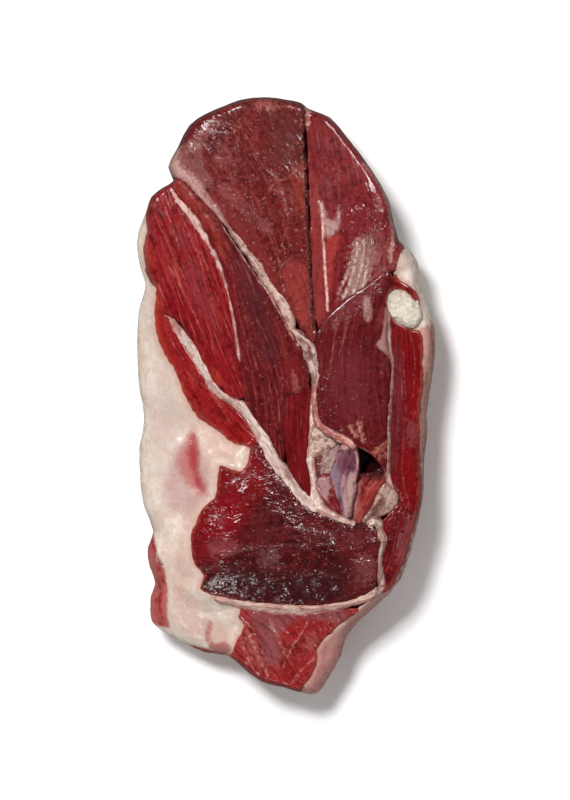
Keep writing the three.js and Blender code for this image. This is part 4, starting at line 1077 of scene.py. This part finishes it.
class Paint:
    """One material and the few kinds of node that it is made from."""

    def __init__(self, name):
        self.material = bpy.data.materials.new(name)
        self.material.use_nodes = True
        self.tree = self.material.node_tree
        self.tree.nodes.clear()

    def node(self, kind, settings, inputs, output=0):
        """Adds a node and returns one of its outputs."""
        made = self.tree.nodes.new(kind)
        for key, value in settings.items():
            setattr(made, key, value)
        for key, value in inputs.items():
            if isinstance(value, Wire):
                self.tree.links.new(value.socket, made.inputs[key])
            else:
                made.inputs[key].default_value = value
        return Wire(self, made.outputs[output])

    def kept(self, name):
        """A number that the mesh keeps at its vertices."""
        return self.node("ShaderNodeAttribute", {"attribute_name": name}, {}, "Fac")

    def kept_vector(self, name):
        """Three numbers that the mesh keeps at its vertices."""
        return self.node("ShaderNodeAttribute", {"attribute_name": name}, {}, "Vector")

    def place(self):
        """A point of the surface in millimetres, turned so that no texture follows an axis."""
        metres = self.node("ShaderNodeTexCoord", {}, {}, "Object")
        turned = {"Vector": metres, "Rotation": (0.5, 0.4, 0.7)}
        turned = self.node("ShaderNodeVectorRotate", {"rotation_type": "EULER_XYZ"}, turned)
        return self.stretch(turned, (1 / MM,) * 3)

    def stretch(self, vector, scale):
        return self.node("ShaderNodeVectorMath", {"operation": "MULTIPLY"}, {0: vector, 1: scale})

    def shift(self, vector, by):
        return self.node("ShaderNodeVectorMath", {"operation": "ADD"}, {0: vector, 1: by})

    def noise(self, vector, size, detail=2.0, roughness=0.5, distortion=0.0):
        """Even noise from about 0 to 1, in lumps about size across."""
        values = {"Vector": vector, "Scale": 1 / size, "Detail": detail, "Roughness": roughness,
                  "Distortion": distortion}
        return self.node("ShaderNodeTexNoise", {}, values, "Fac")

    def ridges(self, vector, size, distortion=0.8):
        """Thin winding ridges, 1 along each ridge and falling to both sides."""
        return 1 - abs(self.noise(vector, size, 1.5, 0.5, distortion) - 0.5) * 6

    def mix(self, factor, one, two):
        """One colour turning into another as the factor goes from 0 to 1."""
        settings = {"data_type": "RGBA", "clamp_factor": True}
        sides = [side if isinstance(side, Wire) else (*linear(side), 1) for side in (one, two)]
        return self.node("ShaderNodeMix", settings, {0: factor, 6: sides[0], 7: sides[1]}, 2)

    def darken(self, factor, colour, tint=(0.12, 0.07, 0.07, 1)):
        """A colour multiplied by a darker tint as the factor goes from 0 to 1."""
        settings = {"data_type": "RGBA", "blend_type": "MULTIPLY", "clamp_factor": True}
        return self.node("ShaderNodeMix", settings, {0: factor, 6: colour, 7: tint}, 2)

    def finish(self, colour, roughness, bump):
        """The surface itself, with its fine relief in millimetres."""
        normal = self.node("ShaderNodeBump", {}, {"Height": bump, "Strength": 1.0, "Distance": MM})
        values = {"Base Color": colour, "Roughness": roughness, "Normal": normal,
                  "Specular IOR Level": 0.45}
        shader = self.node("ShaderNodeBsdfPrincipled", {}, values)
        made = self.tree.nodes.new("ShaderNodeOutputMaterial")
        self.tree.links.new(shader.socket, made.inputs["Surface"])
        return self.material


def marked(paint, colour, place, marks):
    """A colour with the marks of a surface laid over it, and how glossy they make it."""
    gloss = 0.0
    for number, mark in enumerate(marks):
        spot = paint.shift(place, (31.0 * number, 0, 0))
        ragged = (paint.noise(spot, 2.4, detail=3, roughness=0.6) - 0.5) * (2.6 * mark.ragged)
        reach = (paint.kept(mark.name) + ragged).step(-mark.soft, mark.soft)
        shown = reach * mark.amount
        if not mark.closed:
            shown = shown * (0.35 + paint.noise(spot, 4.5).step(0.38, 0.58) * 0.65)
        colour = paint.mix(shown, colour, mark.colour)
        if mark.gloss:
            gloss = gloss + reach * mark.gloss
    return colour, gloss


def meat_colour(paint, place, fibre, muscle):
    """The colour of meat, in clouds and bundles, with its marks laid on, and how glossy they are."""
    deep, main, bright = muscle["colours"]
    clouds = paint.noise(place, 13, detail=4, roughness=0.6)
    fine = paint.noise(place, 3.4, detail=3, roughness=0.65)
    bundles = paint.noise(paint.stretch(fibre, (0.08, 1, 1)), 2.4, detail=4, roughness=0.6)
    tone = clouds * 0.5 + fine * 0.5
    colour = paint.mix(tone.step(0.42, 0.57), deep, main)
    colour = paint.mix(bundles.step(0.5, 0.66) * (0.3 + 0.6 * muscle["streaks"]), colour, bright)
    mottle = paint.noise(place, 4.2, detail=4, roughness=0.7).step(0.49, 0.63)
    colour = paint.mix(mottle * (0.12 + 0.28 * muscle["flecks"]), colour, bright)
    colour, gloss = marked(paint, colour, place, muscle["marks"])
    edge = paint.kept("lean") + (paint.noise(place, 3, detail=2) - 0.5) * 4
    colour = paint.mix(edge.step(2.4, 0.2) * 0.6, colour, THIN_EDGE)
    low_bundles = bundles.step(0.5, 0.36) * (0.3 + 0.4 * muscle["streaks"])
    low = low_bundles + fine.step(0.48, 0.36) * 0.4
    return paint.darken(low, colour, (0.42, 0.2, 0.24, 1)), gloss


def marbled(paint, place, fibre, colour, muscle):
    """Pale threads and flecks of fat, small dark pits, and the shade low down between muscles."""
    threads = paint.noise(paint.stretch(fibre, (0.03, 1, 1)), 1.3, detail=2, roughness=0.5)
    clear = paint.noise(place, 16, detail=2).step(0.42, 0.6)
    colour = paint.mix(threads.step(0.6, 0.7) * clear * (0.7 * muscle["streaks"]), colour, THREAD)
    specks = paint.noise(place, 1.8, detail=3).step(0.58, 0.7)
    some = paint.noise(place, 7, detail=3).step(0.42, 0.62)
    colour = paint.mix(specks * some * (0.65 * muscle["flecks"]), colour, FLECK)
    pits = paint.noise(place, 2.3, detail=3).step(0.42, 0.3)
    colour = paint.darken(pits * (0.05 + 0.4 * muscle["flecks"]), colour, (0.25, 0.1, 0.12, 1))
    return paint.darken(paint.kept("drop").step(0.8, 4.5) * 0.85, colour)


def meat_material(name, muscle):
    """Moist cured meat: bundles of fibres, pale threads and flecks of fat, and wet glints."""
    paint = Paint(name)
    place = paint.place()
    fibre = paint.kept_vector("fibre")
    colour, gloss = meat_colour(paint, place, fibre, muscle)
    colour = marbled(paint, place, fibre, colour, muscle)
    film = paint.noise(place, 8, detail=3, roughness=0.6).step(0.38, 0.6)
    wet = film * muscle["wet"] + gloss
    along = paint.stretch(fibre, (0.4, 1, 1))
    grain = (paint.noise(place, 3.2, detail=1) - 0.5) * (0.08 + muscle["grain"] * 0.5)
    ripples = paint.noise(along, 3.4, detail=0.5, roughness=0.5, distortion=1.2) - 0.5
    clusters = paint.noise(place, 6, detail=3, roughness=0.6).step(0.47, 0.58)
    rough_grain = ripples * clusters * (gloss * 1.5 + film * (muscle["grain"] * 2.2))
    wrinkles = paint.ridges(along, 4.4, 1.2) * film * (0.24 * muscle["wrinkles"])
    ripple = paint.noise(paint.stretch(fibre, (0.08, 1, 1)), 2.2, detail=1) - 0.5
    ripple = ripple * (0.12 + 0.3 * muscle["streaks"])
    roughness = 0.24 - wet.step(0, 1.2) * 0.12
    return paint.finish(colour, roughness, grain + rough_grain + wrinkles + ripple)


def fat_material(name, colours, stain, stains, grain, marks=(), rim=(0.3, 2.2), streaks=0.0):
    """Waxy fat, uneven in tone, stained where it thins out, with a faint grain and a sheen."""
    paint = Paint(name)
    place = paint.place()
    deep, main, bright = colours
    clouds = paint.noise(place, 15, detail=4, roughness=0.6)
    fine = paint.noise(place, 2.6, detail=3, roughness=0.6)
    colour = paint.mix((clouds * 0.65 + fine * 0.35).step(0.4, 0.58), main, bright)
    colour = paint.mix(fine.step(0.5, 0.34) * (0.15 + 0.5 * streaks), colour, deep)
    spots = paint.noise(place, 3.6, detail=3, roughness=0.65, distortion=0.6)
    if streaks:
        drawn = paint.noise(paint.stretch(paint.kept_vector("fibre"), (0.14, 1, 1)), 1.5, detail=2)
        colour = paint.mix(drawn.step(0.5, 0.62) * streaks, colour, bright)
        colour = paint.mix(drawn.step(0.5, 0.38) * streaks, colour, deep)
        spots = paint.noise(place, 9, detail=4, roughness=0.65)
    colour = paint.mix(spots.step(0.53, 0.66) * stains, colour, stain)
    colour, gloss = marked(paint, colour, place, marks)
    thin = paint.kept("edge") + (paint.noise(place, 2.2, detail=3) - 0.5) * 3.2
    colour = paint.mix(thin.step(rim[1], rim[0]) * 0.6, colour, stain)
    # Painted shade: the sides of a strand darken the further they drop below its top, as in a shaded
    # crease
    colour = paint.darken(paint.kept("drop").step(1.0, 4.0) * 0.7, colour, (0.3, 0.16, 0.16, 1))
    film = paint.noise(place, 6, detail=2).step(0.4, 0.6)
    bump = (paint.noise(place, 1.8, detail=2) - 0.5) * grain + clouds * 0.4
    roughness = 0.4 - (film + gloss).step(0, 1) * 0.16
    return paint.finish(colour, roughness, bump)


# Pieces


def muscle_top(muscle, places, depth, smooth_top, fibres):
    """The height of a muscle's uneven skin: creased at its edge, lumpy, and drawn along its fibres."""
    seams = np.max([strand_depth(strand, places) for strand in STRANDS], axis=0)
    top = smooth_top - CREASE_DEPTH * np.exp(-np.maximum(depth, 0) / CREASE_REACH)
    top -= 0.5 * ease(seams, -2.5, 0) + SEAM_TROUGH * ease(seams, 0.1, 1.3)
    lumps = 0.75 * noise(places, 11, 1) + 0.4 * noise(places, 5.2, 2) + 0.2 * noise(places, 2.8, 3)
    bundles = 0.3 * noise(fibres * (0.09, 1), 2.6, 4) + 0.3 * noise(fibres * (0.06, 1), 5.5, 5)
    top += muscle["lumps"] * lumps + (0.1 + 0.4 * muscle["streaks"]) * bundles
    if muscle["wrinkles"] > 0.3:
        along = fibres * (0.55, 1)
        shrunken = 0.16 * folds(along, 6.5, 41) + 0.1 * folds(along, 3.4, 45)
        top += muscle["wrinkles"] * shrunken * ease(depth, 0, 4)
    return top + marks_lift(muscle["marks"], places)


def muscle_edges(places, depth):
    """How far each place lies in from a muscle's ragged side, and from the edge of all the lean."""
    ragged = 0.4 * noise(places, 3.1, 6) + 0.35 * noise(places, 7, 7)
    crack = np.max([nearby(depth_in_line, places, line) for line in crack_lines], axis=0)
    gap = CRACK_GAP * (0.9 + 0.9 * noise(places, 5, 8)) * ease(crack, -3, -1)
    side = depth + 0.3 + 0.4 * ragged - gap
    lean = depth_inside(places, lean_area) + 1.2 * ragged - LEAN_INSET
    return side, lean


def build_muscle(name, muscle, step):
    """One muscle as a thick slab, with what its material needs to know at each vertex."""
    outline = smooth_curve(muscle["outline"], closed=True, steps=2)
    plan = plan_over(outline, 5, step)
    places = plan.places
    depth = depth_inside(places, outline)
    reach = np.minimum(np.maximum(depth, 0) / SWELL_REACH, 1)
    rise = muscle.get("rise", 0.5) * reach * reach * (3 - 2 * reach)
    level = skin_level(places) if name in MUSCLES else muscle["level"]
    smooth_top = back_height(places) + level + muscle["swell"] * rise
    fibres = fibre_frame(muscle["fibre"], places)
    top = muscle_top(muscle, places, depth, smooth_top, fibres)
    side, lean = muscle_edges(places, depth)
    rim = depth_inside(places, silhouette)
    base = np.where(rim < 24, FAT_BELOW + 0.6, top - MUSCLE_THICKNESS)
    vertices, quads = slab_net(plan, top, np.minimum(side, lean), base, EDGE_ROUNDING)
    bumps = 0.12 * noise(vertices, 6.5, 8) + 0.07 * noise(vertices, 3.1, 9)
    vertices = vertices + along_normals(vertices, quads) * bumps[:, None]
    material = meat_material(name, muscle)
    piece = make_piece(name, vertices, quads, material, "lean_meat")

    def read(values):
        return between_columns(plan, values, vertices)

    open_height = read(np.minimum(smooth_top, outer_height(places)))
    within = ease(read(np.minimum(rim, lean)), 1, 5)
    keep_numbers(piece, "drop", (open_height - vertices[:, 2]) * within)
    keep_numbers(piece, "lean", read(lean))
    drawn = [read(fibres[:, 0]), read(fibres[:, 1])]
    keep_numbers(piece, "fibre", np.column_stack([*drawn, vertices[:, 2]]))
    for mark in muscle["marks"]:
        keep_numbers(piece, mark.name, read(mark_depth(mark, places)))


def build_strand(name, strand):
    """A ribbon of fat that fills the crease between two muscles."""
    plan = plan_over(strand_lines[name], 8, STRAND_CELL)
    places = plan.places
    edge = strand_depth(name, places)
    _, along, beside = near_line(places, strand_lines[name])
    clumps = 0.5 * noise(places, 4.2, 21) + 0.4 * noise(places, 2.2, 22)
    top = back_height(places) + skin_level(places) + strand.level - 0.9
    top += strand.clumps * clumps * ease(edge, -0.3, 1.5) + 0.9 * ease(edge, -1.4, 0.8)
    vertices, quads = slab_net(plan, top, edge + 1.6, top - 8, 0.5)
    grains = 0.2 * strand.clumps * noise(vertices, 1.6, 23)
    vertices = vertices + along_normals(vertices, quads) * grains[:, None]
    material = fat_material(name, strand.colours, strand.stain, 0.6, 0.1 + 0.25 * strand.clumps,
                            rim=(-0.9, 0.5), streaks=0.6)
    piece = make_piece(name, vertices, quads, material, "fat_cover")
    keep_numbers(piece, "drop", between_columns(plan, top, vertices) - vertices[:, 2])
    keep_numbers(piece, "edge", between_columns(plan, edge, vertices))
    drawn = [between_columns(plan, values, vertices) for values in (along, beside)]
    keep_numbers(piece, "fibre", np.column_stack([*drawn, vertices[:, 2]]))


def hollow_field(places, height):
    """The bone hollow, which leans in under the neighbouring muscle as it goes down."""
    upright = depth_inside(places, hollow_mouth)[:, None]
    leaned = depth_inside(places - np.array(HOLLOW_LEAN), hollow_mouth)[:, None]
    down = np.clip((BACK_HEIGHT - 8 - height) / (HOLLOW_DEPTH - 8), 0, 1)
    across = upright * (1 - down) + leaned * down + 1.0
    return np.minimum(across, height - (BACK_HEIGHT - HOLLOW_DEPTH))


def build_core():
    """The mass under the muscles, which shows only at the bottom of gaps and in the bone hollow."""
    plan = plan_over(silhouette, 4, CORE_CELL)
    rim = depth_inside(plan.places, silhouette)[:, None] - 3.5
    lean = depth_inside(plan.places, lean_area)[:, None] - 2
    top = back_height(plan.places)[:, None] - CORE_DROP

    def field(height):
        skin = np.minimum(pillow_field(plan.places, rim, top, height), lean)
        skin = np.minimum(skin, height - FAT_BELOW - 1)
        return np.minimum(skin, -hollow_field(plan.places, height))

    vertices, quads = net_over(plan, FAT_BELOW, BACK_HEIGHT, field)
    # The core's dark reds are painted shade, for the gaps and the hollow where it shows
    core = {"colours": (PAINTED_SHADE_RED, (66, 16, 20), (86, 24, 26)), "marks": [], "streaks": 0.2,
            "flecks": 0.2, "wrinkles": 0.2, "grain": 0.3, "wet": 0.8}
    material = meat_material("deep_meat", core)
    piece = make_piece("deep_meat", vertices, quads, material, "lean_meat")
    keep_numbers(piece, "drop", np.zeros(len(vertices)))
    keep_numbers(piece, "lean", np.full(len(vertices), 9.0))
    keep_numbers(piece, "fibre", vertices)


def build_fat_cover():
    """The fat that wraps the ham's underside and flanks."""
    plan = plan_over(silhouette, 4, FAT_CELL)
    places = plan.places
    rim = depth_inside(places, silhouette)[:, None]
    lean = depth_inside(places, lean_area)
    rolls = 2.0 * noise(places, 30, 11) + 0.8 * noise(places, 13, 12) + 0.25 * noise(places, 5, 13)
    meeting = np.exp(-((np.minimum(lean, 0) / 8) ** 2))
    flush = skin_level(places) - 0.7 + 0.7 * noise(places, 8, 16)
    height_outside = back_height(places) + flush * meeting + (rolls - FAT_STEP) * (1 - meeting)
    open_top = (height_outside + marks_lift(FAT_MARKS, places))[:, None]
    hidden = ease(lean, 1.5, 5)[:, None]
    top = open_top * (1 - hidden) + (FAT_BELOW + 3) * hidden

    def field(height):
        skin = round_least((top - height) * 0.8, pillow_field(places, rim, open_top, height), 3)
        return np.minimum(skin, height)

    vertices, quads = net_over(plan, 0, BACK_HEIGHT, field)
    bumps = 0.35 * noise(vertices, 9, 14) + 0.12 * noise(vertices, 4, 15)
    bumps = bumps * ease(vertices[:, 2], 2, 8)
    vertices = vertices + along_normals(vertices, quads) * (bumps - 0.3)[:, None]
    vertices[:, 2] = np.where(vertices[:, 2] < 0.6, 0, vertices[:, 2])
    colours = ((184, 154, 142), (205, 184, 170), (219, 205, 191))
    stain = (190, 142, 128)
    material = fat_material("fat_cover", colours, stain, 0.3, 0.2, FAT_MARKS, rim=(0.5, 4.5))
    piece = make_piece("fat_cover_skin", vertices, quads, material, "fat_cover")
    keep_numbers(piece, "drop", np.zeros(len(vertices)))
    keep_numbers(piece, "edge", -between_columns(plan, lean, vertices))
    for mark in FAT_MARKS:
        keep_numbers(piece, mark.name, between_columns(plan, mark_depth(mark, places), vertices))


def build_hard_lump():
    """The pale, granular lump of hard fat by the right edge."""
    ball = bmesh.new()
    bmesh.ops.create_icosphere(ball, subdivisions=6, radius=1)
    vertices = np.array([vertex.co for vertex in ball.verts])
    faces = np.array([[vertex.index for vertex in face.verts] for face in ball.faces])
    ball.free()
    turn = np.array([[math.cos(FAT_LUMP_TURN), math.sin(FAT_LUMP_TURN)],
                     [-math.sin(FAT_LUMP_TURN), math.cos(FAT_LUMP_TURN)]])
    lump = vertices * FAT_LUMP_HALF
    lump[:, :2] = lump[:, :2] @ turn
    centre = np.array([FAT_LUMP_CENTRE], float)
    back = back_height(centre)[0]
    lump += (*FAT_LUMP_CENTRE, float(back) - 5)
    grains = 2.0 * noise(lump, 7, 31) + 0.8 * noise(lump, 3, 32) + 0.3 * noise(lump, 1.3, 33)
    lump += vertices * grains[:, None]
    flat_top = back + 0.6 + 0.9 * noise(lump, 4.5, 34) + 0.4 * noise(lump, 1.8, 35)
    lump[:, 2] = np.minimum(lump[:, 2], flat_top)
    colours = ((156, 138, 120), (190, 176, 158), (208, 198, 184))
    material = fat_material("hard_fat", colours, (190, 168, 140), 0.3, 0.6)
    piece = make_piece("hard_fat_lump", lump, faces, material, "fat_cover")
    keep_numbers(piece, "drop", np.zeros(len(lump)))
    keep_numbers(piece, "edge", np.full(len(lump), 9.0))


# Floor, light and camera


def build_floor():
    """A plain pale floor."""
    bpy.ops.mesh.primitive_plane_add(size=8, location=(0, 0, 0))
    floor = bpy.context.object
    floor.name = "floor"
    material = bpy.data.materials.new("pale_floor")
    material.use_nodes = True
    shader = material.node_tree.nodes["Principled BSDF"]
    shader.inputs["Base Color"].default_value = (*linear((246, 246, 246)), 1)
    shader.inputs["Roughness"].default_value = 0.95
    shader.inputs["Specular IOR Level"].default_value = 0.1
    floor.data.materials.append(material)
    floor.visible_glossy = False


def add_light(name, azimuth, elevation, distance, size, power, glints=False):
    """A square lamp that faces the ham, at an azimuth from +X and an elevation in degrees.

    It either lights the ham without being mirrored in it, or makes only glints.
    """
    lamp = bpy.data.lights.new(name, "AREA")
    lamp.size = size
    lamp.energy = power
    light = bpy.data.objects.new(name, lamp)
    turn, rise = math.radians(azimuth), math.radians(elevation)
    flat = math.cos(rise)
    towards = Vector((math.cos(turn) * flat, math.sin(turn) * flat, math.sin(rise)))
    light.location = towards * distance
    light.rotation_euler = towards.to_track_quat("Z", "Y").to_euler()
    light.visible_glossy = glints
    light.visible_diffuse = not glints
    bpy.context.collection.objects.link(light)


def light_studio():
    """A key light from the upper left, broad fill all round, and small lamps for the wet glints."""
    world = bpy.data.worlds.new("studio")
    world.use_nodes = True
    sky = world.node_tree.nodes["Background"]
    sky.inputs["Color"].default_value = (1, 1, 1, 1)
    sky.inputs["Strength"].default_value = 0.1
    bpy.context.scene.world = world
    add_light("key_light", 128, 68, 3.0, 0.5, 84)
    for number, azimuth in enumerate((60, 150, 240, 330)):
        add_light(f"fill_light_{number + 1}", azimuth, 38, 2.2, 1.8, 7.6)
    add_light("upper_left_glints", 125, 47, 3.0, 0.7, 42, glints=True)
    add_light("upper_right_glints", 50, 46, 3.0, 0.7, 42, glints=True)
    add_light("lower_glints", 250, 32, 3.0, 0.5, 18, glints=True)
    bpy.context.scene.view_settings.view_transform = "Standard"


def add_camera():
    """Straight above the ham, far enough off that its height hardly spreads it."""
    camera = bpy.data.cameras.new("camera")
    camera.sensor_fit = "HORIZONTAL"
    camera.sensor_width = 36
    view_width = VIEW_PIXELS * PIXEL_SIZE
    camera.lens = camera.sensor_width * (CAMERA_HEIGHT - WIDEST_HEIGHT) / view_width
    camera.clip_end = 20
    view = bpy.data.objects.new("camera", camera)
    view.location = (VIEW_CENTRE[0] * MM, VIEW_CENTRE[1] * MM, CAMERA_HEIGHT * MM)
    bpy.context.collection.objects.link(view)
    bpy.context.scene.camera = view


add_camera()
light_studio()
build_floor()
build_core()
build_fat_cover()
for muscle_name, muscle_data in MUSCLES.items():
    build_muscle(muscle_name, muscle_data, MUSCLE_CELL)
for form_name, form_data in HOLLOW_FORMS.items():
    build_muscle(form_name, form_data, HOLLOW_FORM_CELL)
for strand_name, strand_data in STRANDS.items():
    build_strand(strand_name, strand_data)
build_hard_lump()
